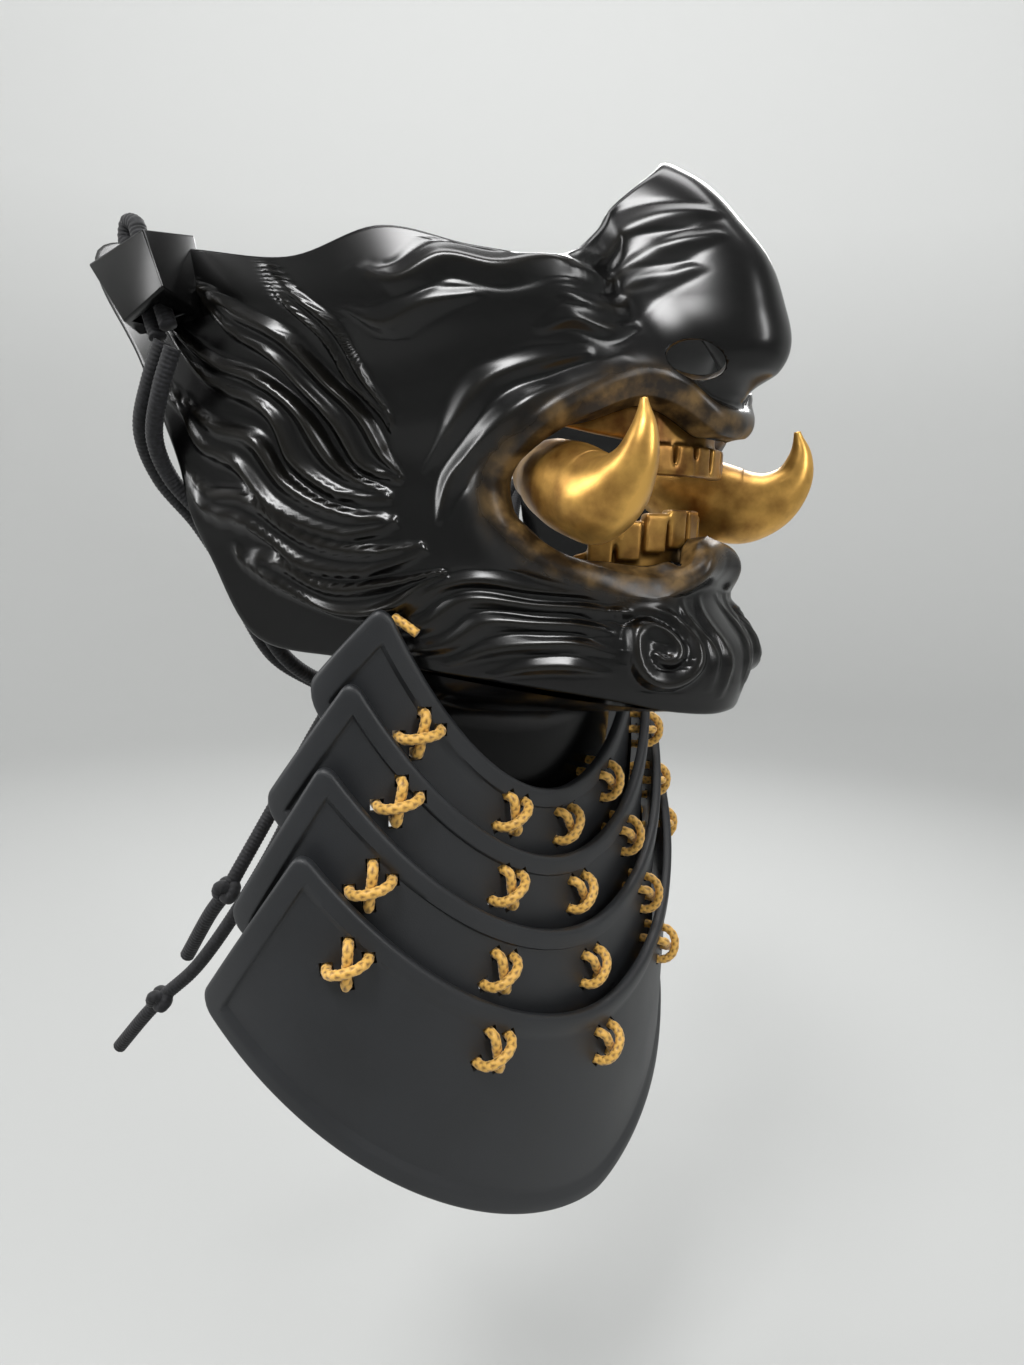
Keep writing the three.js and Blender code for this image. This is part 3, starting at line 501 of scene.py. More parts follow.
for step in range(17):
    f = step / 16
    reach, angle = CURL_RADIUS * (1 - 0.84 * f), 0.9 + 2 * math.pi * CURL_TURNS * f
    size = math.sin(math.pi * min(1, 0.12 + f * 0.88)) ** 0.35 if f < 1 else 0.4
    curl.append((CURL_MIDDLE[0] + reach * math.cos(angle), CURL_MIDDLE[1] + reach * math.sin(angle),
                 2 * size, 2.5 * size))
FOLDS.append(curl)


def stroke_distance(stroke, u, z):
    """Distance from the nearest point of a stroke over its half width there, and its height there."""
    line = smooth_line([(a, b, 0) for a, b, _, _ in stroke], 0.25)
    marks = np.linspace(0, 1, len(line))
    stops = [np.argmin(np.hypot(line[:, 0] - a, line[:, 1] - b)) for a, b, _, _ in stroke]
    half = np.interp(marks, marks[stops], [row[2] for row in stroke])
    tall = np.interp(marks, marks[stops], [row[3] for row in stroke])
    ratio, height = np.full(u.shape, 9.0), np.zeros(u.shape)
    reach = max(row[2] for row in stroke) * 1.6
    near = (
        (u > line[:, 0].min() - reach) & (u < line[:, 0].max() + reach)
        & (z > line[:, 1].min() - reach) & (z < line[:, 1].max() + reach)
    )
    away = (u[near][:, None] - line[:, 0]) ** 2 + (z[near][:, None] - line[:, 1]) ** 2
    nearest = away.argmin(axis=1)
    ratio[near] = np.sqrt(away.min(axis=1)) / half[nearest]
    height[near] = tall[nearest]
    return ratio, height


def soft_step(x):
    x = np.clip(x, 0, 1)
    return x * x * (3 - 2 * x)


def mask_relief(t, z):
    """Height of the relief, and where its rims and crests get a painted highlight."""
    plan = values_at(SECTIONS[:, 0], SECTIONS[:, 1:], z)
    u, before = 0, plan_point(plan, 0 * t)
    for step in range(1, 21):
        point = plan_point(plan, np.abs(t) * step / 20)
        u = u + np.linalg.norm(point - before, axis=-1)
        before = point
    # the second value marks the rims of the locks and the crests of the folds, which the material lightens as a painted
    # highlight
    high, painted_ridge_highlight = np.zeros(u.shape), np.zeros(u.shape)
    for stroke in LOCKS:
        ratio, tall = stroke_distance(stroke, u, z)
        strap = soft_step((1.2 - ratio) / 0.5)
        rim = np.exp(-(((ratio - 0.66) / 0.26) ** 2))
        shape = tall * (0.62 * strap + 0.4 * rim - 0.22 * np.exp(-((ratio / 0.3) ** 2)))
        painted_ridge_highlight = np.where(shape > high, rim, painted_ridge_highlight)
        high = np.maximum(high, shape)
    for stroke in FOLDS:
        ratio, tall = stroke_distance(stroke, u, z)
        shape = tall * np.exp(-(ratio**2) * 1.1)
        painted_ridge_highlight = np.maximum(painted_ridge_highlight, np.exp(-((ratio / 0.4) ** 2)) * (tall > 0.8))
        high = high + shape - 0.16 * tall * np.exp(-(((ratio - 1.7) / 0.4) ** 2))
    return high, painted_ridge_highlight


line_marks = np.linspace(0, 2 * LAST_LINE, 1681)
ring_points = mask_skin(*place_on_mask(line_marks, 0.45 + 0 * line_marks))
ring_length = np.r_[0, np.cumsum(np.linalg.norm(np.diff(ring_points, axis=0), axis=1))]
line_of_column = np.interp(np.linspace(0, ring_length[-1], MASK_COLUMNS + 1), ring_length, line_marks)
rim_round = WALL / 2
# the loop from the lip out over the face, round the rim, back along the inside and through the mouth's edge
loop = []
for row in range(MASK_ROWS + 1):
    loop.append(("out", (row / MASK_ROWS) ** 1.15, 0))
for row in range(1, 6):
    loop.append(("rim", 1, math.pi * row / 6))
for row in range(MASK_BACK_ROWS + 1):
    loop.append(("in", (1 - row / MASK_BACK_ROWS) ** 1.3, 0))
for row in range(1, LIP_ROWS):
    loop.append(("lip", 0, row / LIP_ROWS))
loop.append(loop[0])
LOOP_SHARE = np.array([entry[1] for entry in loop])
LOOP_KIND = np.array(["out rim in lip".split().index(entry[0]) for entry in loop])
LOOP_TURN = np.array([entry[2] for entry in loop])


def mask_place(u, v):
    column = np.rint(u * MASK_COLUMNS).astype(int) % MASK_COLUMNS
    row = np.rint(v * (len(loop) - 1)).astype(int) % (len(loop) - 1)
    line, kind, turn = line_of_column[column], LOOP_KIND[row], LOOP_TURN[row]
    whole = mask_skin(*place_on_mask(line, 0 * line + 1)) - mask_skin(*place_on_mask(line, 0 * line))
    inset = rim_round / np.linalg.norm(whole, axis=1)
    share = np.where(kind == 1, 1 - inset * (1 - np.sin(turn)), LOOP_SHARE[row] * (1 - inset))
    t, z = place_on_mask(line, share)
    p = mask_skin(t, z)
    across = mask_skin(*place_on_mask(line + 0.12, share)) - mask_skin(*place_on_mask(line - 0.12, share))
    over = mask_skin(*place_on_mask(line, share + 0.01)) - mask_skin(*place_on_mask(line, share - 0.01))
    out = np.cross(across, over)
    out /= np.linalg.norm(out, axis=1)[:, None]
    away = np.linalg.norm(p - mask_skin(*place_on_mask(line, 0 * line)), axis=1)
    roll = LIP_ROLL * np.exp(-((away / LIP_CREST - 1) ** 2)) - LIP_EDGE * np.exp(-away / LIP_EDGE_WIDTH)
    back = -WALL - (LIP_DEPTH - WALL) * np.exp(-((away / LIP_BACK) ** 2))
    high, painted_ridge_highlight = mask_relief(t, z)
    clear_of_lip = soft_step((away - 6) / 5) * soft_step((1 - share) / 0.06)
    face = roll + high * clear_of_lip
    offset = np.select(
        [kind == 0, kind == 1, kind == 2],
        [face, -rim_round + rim_round * np.cos(turn), back],
        back + (roll - back) * turn,
    )
    # the ridge mark carries the painted highlight on the relief's rims and crests
    marks = {
        "bronze": np.where(kind == 3, 1.0, np.where(kind == 0, np.exp(-((away / 4.5) ** 2)), 0.0)),
        "painted_ridge_highlight": np.where(kind == 0, painted_ridge_highlight * clear_of_lip, 0.0),
        "front": np.where(kind == 0, 1.0, 0.0),
    }
    return p + out * offset[:, None], marks


# Gloss black resin: nearly black, with brown-bronze paint rubbed into the lip, the nostrils and the recesses, and a
# faint warm painted highlight on the rims and crests of the relief.
gloss_black, tree, shader = new_material("gloss_black_resin", roughness=0.24)
place = add_node(tree, "ShaderNodeTexCoord")
bronze = add_node(tree, "ShaderNodeAttribute", attribute_name="bronze")
painted_ridge_highlight = add_node(tree, "ShaderNodeAttribute", attribute_name="painted_ridge_highlight")
wear = add_node(tree, "ShaderNodeTexNoise", {"Vector": place.outputs["Object"], "Scale": 170.0, "Detail": 5.0})
patches = add_node(tree, "ShaderNodeMapRange", {"Value": wear.outputs["Fac"], "From Min": 0.38, "From Max": 0.66})
worn = add_node(
    tree, "ShaderNodeMath", {0: bronze.outputs["Fac"], 1: patches.outputs["Result"]}, operation="MULTIPLY_ADD"
)
tree.links.new(bronze.outputs["Fac"], worn.inputs[2])
worn_share = add_node(tree, "ShaderNodeMath", {0: worn.outputs["Value"], 1: 0.5}, operation="MULTIPLY", use_clamp=True)
# rims and crests are painted a little lighter and warmer than the body: a painted highlight
dark = add_node(
    tree, "ShaderNodeMix", {"Factor": painted_ridge_highlight.outputs["Fac"], "A": linear("#050505"), "B": linear("#110f0b")},
    data_type="RGBA",
)
paint = add_node(
    tree, "ShaderNodeMix", {"Factor": patches.outputs["Result"], "A": linear("#3a2b18"), "B": linear("#80653c")},
    data_type="RGBA",
)
body = add_node(tree, "ShaderNodeMix", {"Factor": worn_share.outputs["Value"]}, data_type="RGBA")
tree.links.new(dark.outputs["Result"], body.inputs["A"])
tree.links.new(paint.outputs["Result"], body.inputs["B"])
tree.links.new(body.outputs["Result"], shader.inputs["Base Color"])
dull = add_node(
    tree, "ShaderNodeMapRange", {"Value": worn_share.outputs["Value"], "To Min": 0.24, "To Max": 0.46}
)
tree.links.new(dull.outputs["Result"], shader.inputs["Roughness"])
front = add_node(tree, "ShaderNodeAttribute", attribute_name="front")
shine = add_node(tree, "ShaderNodeMapRange", {"Value": front.outputs["Fac"], "To Min": 0.16, "To Max": 0.42})
tree.links.new(shine.outputs["Result"], shader.inputs["Specular IOR Level"])


def cut_away(piece, cutters):
    """Takes closed cutters out of a piece, then removes them."""
    for cutter in cutters:
        cut = piece.modifiers.new("cut", "BOOLEAN")
        cut.operation, cut.solver, cut.object = "DIFFERENCE", "EXACT", cutter
        bpy.context.view_layer.objects.active = piece
        bpy.ops.object.modifier_apply(modifier=cut.name)
        bpy.data.objects.remove(cutter)


mask = shaped_sheet("mask_moulding", MASK_COLUMNS, len(loop) - 1, mask_place)
nostril_cutters = []
for side in (-1, 1):
    bpy.ops.object.select_all(action="DESELECT")
    bpy.ops.mesh.primitive_uv_sphere_add(segments=32, ring_count=20, radius=1)
    hole = bpy.context.object
    turn = Matrix.Rotation(side * 0.35, 4, "Z") @ Matrix.Rotation(0.25, 4, "X")
    size = Matrix.Diagonal((8 * MM, 6.6 * MM, 4.6 * MM, 1))
    hole.data.transform(Matrix.Translation((side * 14.5 * MM, -28 * MM, 33 * MM)) @ turn @ size)
    nostril_cutters.append(hole)
cut_away(mask, nostril_cutters)
finished(mask, gloss_black, "shell", "mask_shell")

# Cord blocks: a faceted solid block of the same resin behind each temple, slotted for the doubled cord.
BLOCK = {
    (0, 0, 0): (73, 79, 40),
    (0, 1, 0): (74, 85, 62),
    (0, 0, 1): (78, 104, 38),
    (0, 1, 1): (78, 121, 59),
    (1, 0, 0): (91, 73, 45),
    (1, 1, 0): (90, 83, 59.5),
    (1, 0, 1): (89, 94, 39),
    (1, 1, 1): (88, 112, 55),
}
for side, word in [(-1, "right"), (1, "left")]:
    bpy.ops.object.select_all(action="DESELECT")
    bpy.ops.mesh.primitive_cube_add(size=2)
    block = bpy.context.object
    block.name = block.data.name = "cord_block_%s" % word
    for corner in block.data.vertices:
        x, y, z = corner.co
        at = BLOCK[(int(x > 0), int(z > 0), int(y > 0))]
        corner.co = Vector((side * at[0], at[1], at[2])) * MM
    bpy.ops.object.mode_set(mode="EDIT")
    bpy.ops.mesh.select_all(action="SELECT")
    bpy.ops.mesh.normals_make_consistent(inside=False)
    bpy.ops.object.mode_set(mode="OBJECT")
    top, low = mirrored(SLOT_TOP, side), mirrored(SLOT_LOW, side)
    bpy.ops.object.select_all(action="DESELECT")
    bpy.ops.mesh.primitive_cube_add(size=1)
    slot = bpy.context.object
    down = Vector(low - top)
    across = (Vector((0, 1, 0)) - Vector((0, 1, 0)).project(down)).normalized()
    turn = Matrix((across, down.normalized().cross(across), down.normalized())).transposed().to_4x4()
    size = Matrix.Diagonal(((2 * CORD + 2.4) * MM, (CORD + 1.2) * MM, 3 * down.length * MM, 1))
    slot.data.transform(Matrix.Translation(Vector(top + low) / 2 * MM) @ turn @ size)
    cut_away(block, [slot])
    bevel = block.modifiers.new("worn_edges", "BEVEL")
    bevel.width, bevel.segments, bevel.limit_method, bevel.angle_limit = 0.7 * MM, 3, "ANGLE", math.radians(25)
    bpy.context.view_layer.objects.active = block
    bpy.ops.object.modifier_apply(modifier=bevel.name)
    bpy.ops.object.select_all(action="DESELECT")
    block.select_set(True)
    bpy.ops.object.shade_smooth_by_angle(angle=math.radians(30))
    finished(block, gloss_black, "shell", "mask_shell")

# ---------------------------------------------------------------------------------------------------
# Throat plates: four moulded plates of satin dark grey resin, 2 mm thick, each with a flat raised border
# and rounded corners. Each hangs outside the one above it. Square holes take the ties.
PLATE, BEAD, BEAD_WIDTH, BEAD_STEP, PLATE_CORNER = 2.0, 1.1, 5.0, 0.8, 4.4
EDGE_ROUND = 1.3
TOP_CURVE, LOW_CURVE = 1.8, 1.5
# front y, near x, far x and y, rear x and y; top t; heights of the top (middle, end) and bottom (middle, end)
PLATES = [
    (15, 39, 64.8, 27.4, 68, 47, 0.68, -83.5, -27, -122, -50),
    (9, 41.5, 73.5, 23.2, 75.7, 54, 0.72, -102, -45, -143, -80),
    (3, 44, 81.3, 20.6, 83.2, 58.5, 0.74, -122, -65, -165, -110),
    (-3, 46, 88.4, 18.5, 90.5, 61, 0.75, -145, -86, -207, -131),
]
PLATE_COLUMNS, PLATE_ROWS = 200, 44
# closely set steps in from an edge, over its rounding, its border and the step down from it
EDGE_STEPS = np.array([0, 0.12, 0.35, 0.7, 1.3, 2.4, 3.6, 4.6, 5.0, 5.2, 5.4, 5.6, 5.8, 6.4])


def plate_point(plate, across, down, offset):
    plan, (top_t, top_mid, top_end, low_mid, low_end) = plate[:6], plate[6:]
    wide = np.abs(across)
    t = across * (top_t + (1 - top_t) * down)
    top = top_mid + (top_end - top_mid) * wide**TOP_CURVE
    low = low_mid + (low_end - low_mid) * wide**LOW_CURVE
    p = plan_point(plan, t) + plan_normal(plan, t) * offset[..., None]
    return np.concatenate([p, (top + (low - top) * down)[..., None]], axis=-1)


def graded(count, length):
    """Shares from 0 to 1 in count steps, close together near both ends of this length."""
    edge = EDGE_STEPS / length
    rest = np.linspace(edge[-1], 1 - edge[-1], count + 1 - 2 * (len(edge) - 1))
    return np.r_[edge[:-1], rest, 1 - edge[:-1][::-1]]


def plate_surface(plate):
    ends = plan_point(plate[:6], np.linspace(-1, 1, 101))
    long = np.linalg.norm(np.diff(ends, axis=0), axis=1).sum()
    columns = graded(PLATE_COLUMNS - 2, long)
    columns = np.r_[0, columns, 1]

    def place(u, v):
        column = np.rint(u * PLATE_COLUMNS).astype(int)
        row = np.rint(v * (2 * PLATE_ROWS + 4)).astype(int) % (2 * PLATE_ROWS + 4)
        cap = (column == 0) | (column == PLATE_COLUMNS) | (row == 0) | (row == PLATE_ROWS + 2)
        front = row < PLATE_ROWS + 2
        step = np.clip(np.where(front, row - 1, 2 * PLATE_ROWS + 3 - row), 0, PLATE_ROWS)
        share = columns[column]
        across = 2 * share - 1
        zero = 0 * across
        tall = np.linalg.norm(plate_point(plate, across, zero, zero) - plate_point(plate, across, zero + 1, zero), axis=1)
        from_end = np.minimum(share, 1 - share) * long
        short = np.maximum(PLATE_CORNER - from_end, 0)
        cut = (PLATE_CORNER - np.sqrt(PLATE_CORNER**2 - short**2)) / tall
        down = cut + (1 - 2 * cut) * np.interp(step, np.arange(PLATE_ROWS + 1), graded(PLATE_ROWS, 38.0))
        from_top = np.minimum(down, 1 - down) * tall
        corner_x, corner_y = np.maximum(PLATE_CORNER - from_end, 0), np.maximum(PLATE_CORNER - from_top, 0)
        edge = np.where(
            (corner_x > 0) & (corner_y > 0), PLATE_CORNER - np.hypot(corner_x, corner_y), np.minimum(from_end, from_top)
        )
        edge = np.maximum(edge, 0)
        height = PLATE + BEAD * soft_step((BEAD_WIDTH + BEAD_STEP - edge) / BEAD_STEP)
        inset = 1 - np.minimum(edge / EDGE_ROUND, 1)
        height = height - EDGE_ROUND * (1 - np.sqrt(1 - inset**2))
        behind = 0.5 * (1 - np.sqrt(np.maximum(1 - (1 - np.minimum(edge / 0.5, 1)) ** 2, 0)))
        offset = np.where(cap, 1.1, np.where(front, height, behind))
        return plate_point(plate, across, down, offset)

    return place


# Satin resin: dark grey, with a fine moulded grain and faint long scuffs.
satin_grey, tree, shader = new_material("satin_dark_grey_resin", roughness=0.5)
place = add_node(tree, "ShaderNodeTexCoord")
grain = add_node(tree, "ShaderNodeTexNoise", {"Vector": place.outputs["Object"], "Scale": 2600.0, "Detail": 2.0})
cloud = add_node(tree, "ShaderNodeTexNoise", {"Vector": place.outputs["Object"], "Scale": 45.0, "Detail": 5.0})
tint = add_node(
    tree, "ShaderNodeMix", {"Factor": cloud.outputs["Fac"], "A": linear("#17181a"), "B": linear("#242629")},
    data_type="RGBA",
)
tree.links.new(tint.outputs["Result"], shader.inputs["Base Color"])
bump = add_node(tree, "ShaderNodeBump", {"Height": grain.outputs["Fac"], "Strength": 0.22, "Distance": 0.00015})
tree.links.new(bump.outputs["Normal"], shader.inputs["Normal"])
gloss = add_node(tree, "ShaderNodeMapRange", {"Value": cloud.outputs["Fac"], "To Min": 0.4, "To Max": 0.56})
tree.links.new(gloss.outputs["Result"], shader.inputs["Roughness"])

# ---------------------------------------------------------------------------------------------------
# Lacing: gold braided polyester cord just under 3 mm thick. Each tie is one loop that crosses over itself
# in front of its plate and goes through it and the plate behind.
LACE, LACE_WIDE, LACE_TALL, HOLE = 2.8, 3.2, 4.4, 3.5
BRAID_DEPTH, BRAID_PITCH = 0.22, 2.3
FLANGE_BEHIND = 5.2
# middle z; inner t, z, turn; outer t, z, turn
TIES = [
    (-94.8, 0.22, -86.6, 0.4, 0.55, -61, 0.8),
    (-114.5, 0.26, -105, 0.4, 0.585, -77, 0.75),
    (-136, 0.3, -125.5, 0.4, 0.625, -97, 0.7),
    (-158, 0.33, -144, 0.4, 0.65, -115, 0.65),
]
gold_braid, tree, shader = new_material("gold_braided_polyester", roughness=0.5)
place = add_node(tree, "ShaderNodeTexCoord")
crown = add_node(tree, "ShaderNodeAttribute", attribute_name="crown")
fibre = add_node(tree, "ShaderNodeTexNoise", {"Vector": place.outputs["Object"], "Scale": 1800.0, "Detail": 2.0})
# the colour follows the braid's crowns: gold on the crowns, dark brown in the valleys between strands, which is painted
# shade
crown_light_valley_shade = add_node(tree, "ShaderNodeMath", {0: crown.outputs["Fac"], 1: 0.8}, operation="MULTIPLY")
mixed = add_node(tree, "ShaderNodeMath", {0: fibre.outputs["Fac"], 1: 0.35, 2: crown_light_valley_shade.outputs["Value"]}, operation="MULTIPLY_ADD")
shade = add_node(tree, "ShaderNodeValToRGB", {"Fac": mixed.outputs["Value"]})
shade.color_ramp.elements[0].position = 0.15
shade.color_ramp.elements[0].color = linear("#5e3c12")
shade.color_ramp.elements[1].position = 0.8
shade.color_ramp.elements[1].color = linear("#e0ae52")
tree.links.new(shade.outputs["Color"], shader.inputs["Base Color"])
shader.inputs["Sheen Weight"].default_value = 0.25
bump = add_node(tree, "ShaderNodeBump", {"Height": fibre.outputs["Fac"], "Strength": 0.3, "Distance": 0.0002})
tree.links.new(bump.outputs["Normal"], shader.inputs["Normal"])


def braid_tube(name, line, thick):
    across, over = carried_frames(line)
    along = np.r_[0, np.cumsum(np.linalg.norm(np.diff(line, axis=0), axis=1))]
    count, sides = len(line), 18

    def place(u, v):
        ring = np.clip(np.rint(u * (count + 1)).astype(int) - 1, 0, count - 1)
        closed = (u < 0.5 / (count + 1)) | (u > 1 - 0.5 / (count + 1))
        angle = 2 * np.pi * (np.rint(v * sides).astype(int) % sides) / sides
        wave = 2 * np.pi * along[ring] / BRAID_PITCH
        a, b = 3 * angle + wave, 3 * angle - wave
        crown = np.maximum(np.cos(a) + 0.5 * np.sin(b), np.cos(b) - 0.5 * np.sin(a))
        crown = np.clip(0.5 + 0.42 * crown, 0, 1)
        r = np.where(closed, 0, thick / 2 - BRAID_DEPTH * (1 - crown))[:, None]
        p = line[ring] + r * (np.cos(angle)[:, None] * across[ring] + np.sin(angle)[:, None] * over[ring])
        # crown also sets the colour, which gives the valleys painted shade
        return p, {"crown": crown}

    return shaped_sheet(name, count + 1, sides, place)


for number, (plate, ties) in enumerate(zip(PLATES, TIES), 1):
    lame = shaped_sheet("throat_plate_%d" % number, PLATE_COLUMNS, 2 * PLATE_ROWS + 4, plate_surface(plate))
    plan = plate[:6]
    cutters = []
    mid_z, inner_t, inner_z, inner_turn, outer_t, outer_z, outer_turn = ties
    stops = [
        (-outer_t, outer_z, outer_turn), (-inner_t, inner_z, inner_turn), (0, mid_z, 0),
        (inner_t, inner_z, inner_turn), (outer_t, outer_z, outer_turn),
    ]
    for column, (t, z, turn) in enumerate(stops, 1):
        n, p = plan_normal(plan, np.array(t)), plan_point(plan, np.array(t))
        out, middle = np.array((n[0], n[1], 0)), np.array((p[0], p[1], z))
        along = np.array((-n[1], n[0], np.sign(t) * math.tan(turn)))
        along /= np.linalg.norm(along)
        up = np.cross(out, along)
        depth = FLANGE_BEHIND + WALL
        if number > 1:
            before = plan_point(PLATES[number - 2][:6], np.linspace(-1, 1, 201))
            depth = np.linalg.norm(before - p, axis=1).min()

        def at(a, b, c):
            return middle + a * along + b * up + c * out

        wide, tall, back = LACE_WIDE, LACE_TALL, -depth - LACE / 2
        low, high = PLATE + LACE / 2 + 0.7, PLATE + LACE * 1.5 + 0.6
        points = [
            at(wide, 0, back), at(wide, tall * 0.8, back), at(wide, tall, back * 0.6), at(wide, tall, PLATE * 0.5),
            at(wide * 0.86, tall * 0.9, low + 0.5), at(wide * 0.42, tall * 0.42, high), at(-wide * 0.42, -tall * 0.42, high),
            at(-wide * 0.86, -tall * 0.9, low + 0.5), at(-wide, -tall, PLATE * 0.5), at(-wide, -tall, back * 0.6),
            at(-wide, -tall * 0.8, back), at(-wide, tall * 0.8, back), at(-wide, tall, back * 0.6),
            at(-wide, tall, PLATE * 0.5), at(-wide * 0.86, tall * 0.9, low), at(0, 0, low + 0.1),
            at(wide * 0.86, -tall * 0.9, low), at(wide, -tall, PLATE * 0.5), at(wide, -tall, back * 0.6),
            at(wide, -tall * 0.8, back), at(wide, -0.2, back),
        ]
        node_name = "lace_%d_%d" % (number, column)
        tie = braid_tube("tie_%d_%d" % (number, column), smooth_line(points, 0.3), LACE)
        finished(tie, gold_braid, "lacing", node_name)
        for a in (-wide, wide):
            for b in (-tall, tall):
                bpy.ops.object.select_all(action="DESELECT")
                bpy.ops.mesh.primitive_cube_add(size=1)
                hole = bpy.context.object
                turned = Matrix((Vector(along), Vector(up), Vector(out))).transposed().to_4x4()
                spin = Matrix.Rotation(math.pi / 4, 4, "Z")
                size = Matrix.Diagonal((HOLE * MM, HOLE * MM, 12 * MM, 1))
                hole.data.transform(Matrix.Translation(Vector(at(a, b, PLATE / 2)) * MM) @ turned @ spin @ size)
                cutters.append(hole)
    bpy.ops.object.select_all(action="DESELECT")
    for hole in cutters:
        hole.select_set(True)
    bpy.context.view_layer.objects.active = cutters[0]
    bpy.ops.object.join()
    cut_away(lame, [cutters[0]])
    bpy.ops.object.select_all(action="DESELECT")
    lame.select_set(True)
    bpy.context.view_layer.objects.active = lame
    bpy.ops.object.shade_smooth_by_angle(angle=math.radians(40))
    finished(lame, satin_grey, "plate", "lame_%d" % number)

# Short ties of the same braid, half hidden behind the top corners of the first plate.
for side, word in [(-1, "right"), (1, "left")]:
    points = mirrored([(55.6, 30, -31.4), (54.5, 27, -33.2), (53.2, 24, -35.2)], side)
    tie = braid_tube("corner_lace_%s" % word, smooth_line(points, 0.3), 2.5)
    finished(tie, gold_braid, "lacing", "corner_tie_%s" % word)

# ---------------------------------------------------------------------------------------------------
# Tusks: moulded resin painted gold, browner towards the root, with a keel along the front. They curl up
# from behind the lower lip at each corner of the mouth.
TUSK = [
    (27.5, 9, 6, 6.5),
    (29.5, 2.5, 4.7, 9.7),
    (34, -8, 2, 11.2),
    (38.5, -18, 0, 10.6),
    (41.5, -25.5, 2.5, 8.2),
    (43, -30.5, 8, 5.4),
    (43, -32, 14.5, 3.2),
    (42, -31, 21, 0.6),
]
gold_paint, tree, shader = new_material("gold_painted_resin", roughness=0.36, metallic=0.75)
place = add_node(tree, "ShaderNodeTexCoord")
age = add_node(tree, "ShaderNodeTexNoise", {"Vector": place.outputs["Object"], "Scale": 130.0, "Detail": 6.0})
keel = add_node(tree, "ShaderNodeAttribute", attribute_name="keel")
sum_up = add_node(tree, "ShaderNodeMath", {0: keel.outputs["Fac"], 1: 0.5, 2: age.outputs["Fac"]}, operation="MULTIPLY_ADD")
shade = add_node(tree, "ShaderNodeValToRGB", {"Fac": sum_up.outputs["Value"]})
shade.color_ramp.elements[0].position = 0.3
shade.color_ramp.elements[0].color = linear("#6b4318")
shade.color_ramp.elements[1].position = 0.85
shade.color_ramp.elements[1].color = linear("#e3b15c")
tree.links.new(shade.outputs["Color"], shader.inputs["Base Color"])
bump = add_node(tree, "ShaderNodeBump", {"Height": age.outputs["Fac"], "Strength": 0.2, "Distance": 0.0004})
tree.links.new(bump.outputs["Normal"], shader.inputs["Normal"])
for side, word in [(-1, "right"), (1, "left")]:
    rows = np.array(TUSK, float)
    line = smooth_line(rows[:, :3] * (side, 1, 1), 0.5)
    where = np.linspace(0, 1, len(line))
    stops = [np.argmin(np.linalg.norm(line - row[:3] * (side, 1, 1), axis=1)) for row in rows]
    radius = np.interp(where, where[stops], rows[:, 3])
    radius = np.convolve(np.pad(radius, 6, mode="edge"), np.ones(13) / 13, mode="valid")
    across, over = carried_frames(line)
    front = np.array((side * 0.25, -0.7, -0.7))
    front_angle = np.arctan2(over @ front, across @ front)
    count, sides = len(line), 48

    def tusk_place(u, v):
        ring = np.clip(np.rint(u * (count + 1)).astype(int) - 1, 0, count - 1)
        closed = (u < 0.5 / (count + 1)) | (u > 1 - 0.5 / (count + 1))
        angle = 2 * np.pi * (np.rint(v * sides).astype(int) % sides) / sides
        off = np.angle(np.exp(1j * (angle - front_angle[ring])))
        ridge = np.exp(-((off / 0.3) ** 2))
        r = radius[ring] * (0.96 + 0.06 * ridge + 0.03 * np.cos(2 * off))
        r = np.where(closed, 0, r)[:, None]
        p = line[ring] + r * (np.cos(angle)[:, None] * across[ring] + np.sin(angle)[:, None] * over[ring])
        tip = np.clip(ring / count * 1.3 - 0.3, 0, 1)
        return p, {"keel": ridge * 0.6 + 0.5 * tip}

    finished(shaped_sheet("tusk_%s_moulding" % word, count + 1, sides, tusk_place), gold_paint, "gold", "tusk_%s" % word)

# Teeth: two rows of rounded blocks moulded with their gums and painted gold, with dark brown painted shade in the gaps
# between them.
gold_teeth = gold_paint.copy()
gold_teeth.name = "gold_painted_teeth"
tree = gold_teeth.node_tree
cavity = add_node(tree, "ShaderNodeNewGeometry")
# concave places, found by pointiness, are darkened to dark brown: painted shade between the teeth
gaps = add_node(tree, "ShaderNodeMapRange", {"Value": cavity.outputs["Pointiness"], "From Min": 0.42, "From Max": 0.53})
ramp = next(node for node in tree.nodes if node.type == "VALTORGB")
painted_gap_shade = add_node(
    tree, "ShaderNodeMix", {"Factor": gaps.outputs["Result"], "A": linear("#1c1006"), "B": ramp.outputs["Color"]},
    data_type="RGBA",
)
tree.links.new(painted_gap_shade.outputs["Result"], tree.nodes["Principled BSDF"].inputs["Base Color"])
for node_name in ("teeth_upper", "teeth_lower"):
    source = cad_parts[node_name]
    teeth = source.copy()
    teeth.data = source.data.copy()
    teeth.name = teeth.data.name = node_name + "_moulding"
    bpy.context.scene.collection.objects.link(teeth)
    bpy.ops.object.select_all(action="DESELECT")
    teeth.hide_set(False)
    teeth.select_set(True)
    bpy.context.view_layer.objects.active = teeth
    bpy.ops.object.mode_set(mode="EDIT")
    bpy.ops.mesh.select_all(action="SELECT")
    bpy.ops.mesh.remove_doubles(threshold=1e-5)
    bpy.ops.mesh.normals_make_consistent(inside=False)
    bpy.ops.object.mode_set(mode="OBJECT")
    for kind, name in [("REMESH", "blocks"), ("SMOOTH", "rounding")]:
        change = teeth.modifiers.new(name, kind)
        if kind == "REMESH":
            change.mode, change.voxel_size = "VOXEL", 0.45 * MM
        else:
            change.iterations = 22
        bpy.ops.object.modifier_apply(modifier=change.name)
    bpy.ops.object.shade_smooth()
    finished(teeth, gold_teeth, "gold", node_name)

# ---------------------------------------------------------------------------------------------------
# Throat flange: the underside of the chin, turned down behind the first plate to carry it.
FLANGE_ROWS, FLANGE_COLUMNS = 10, 60


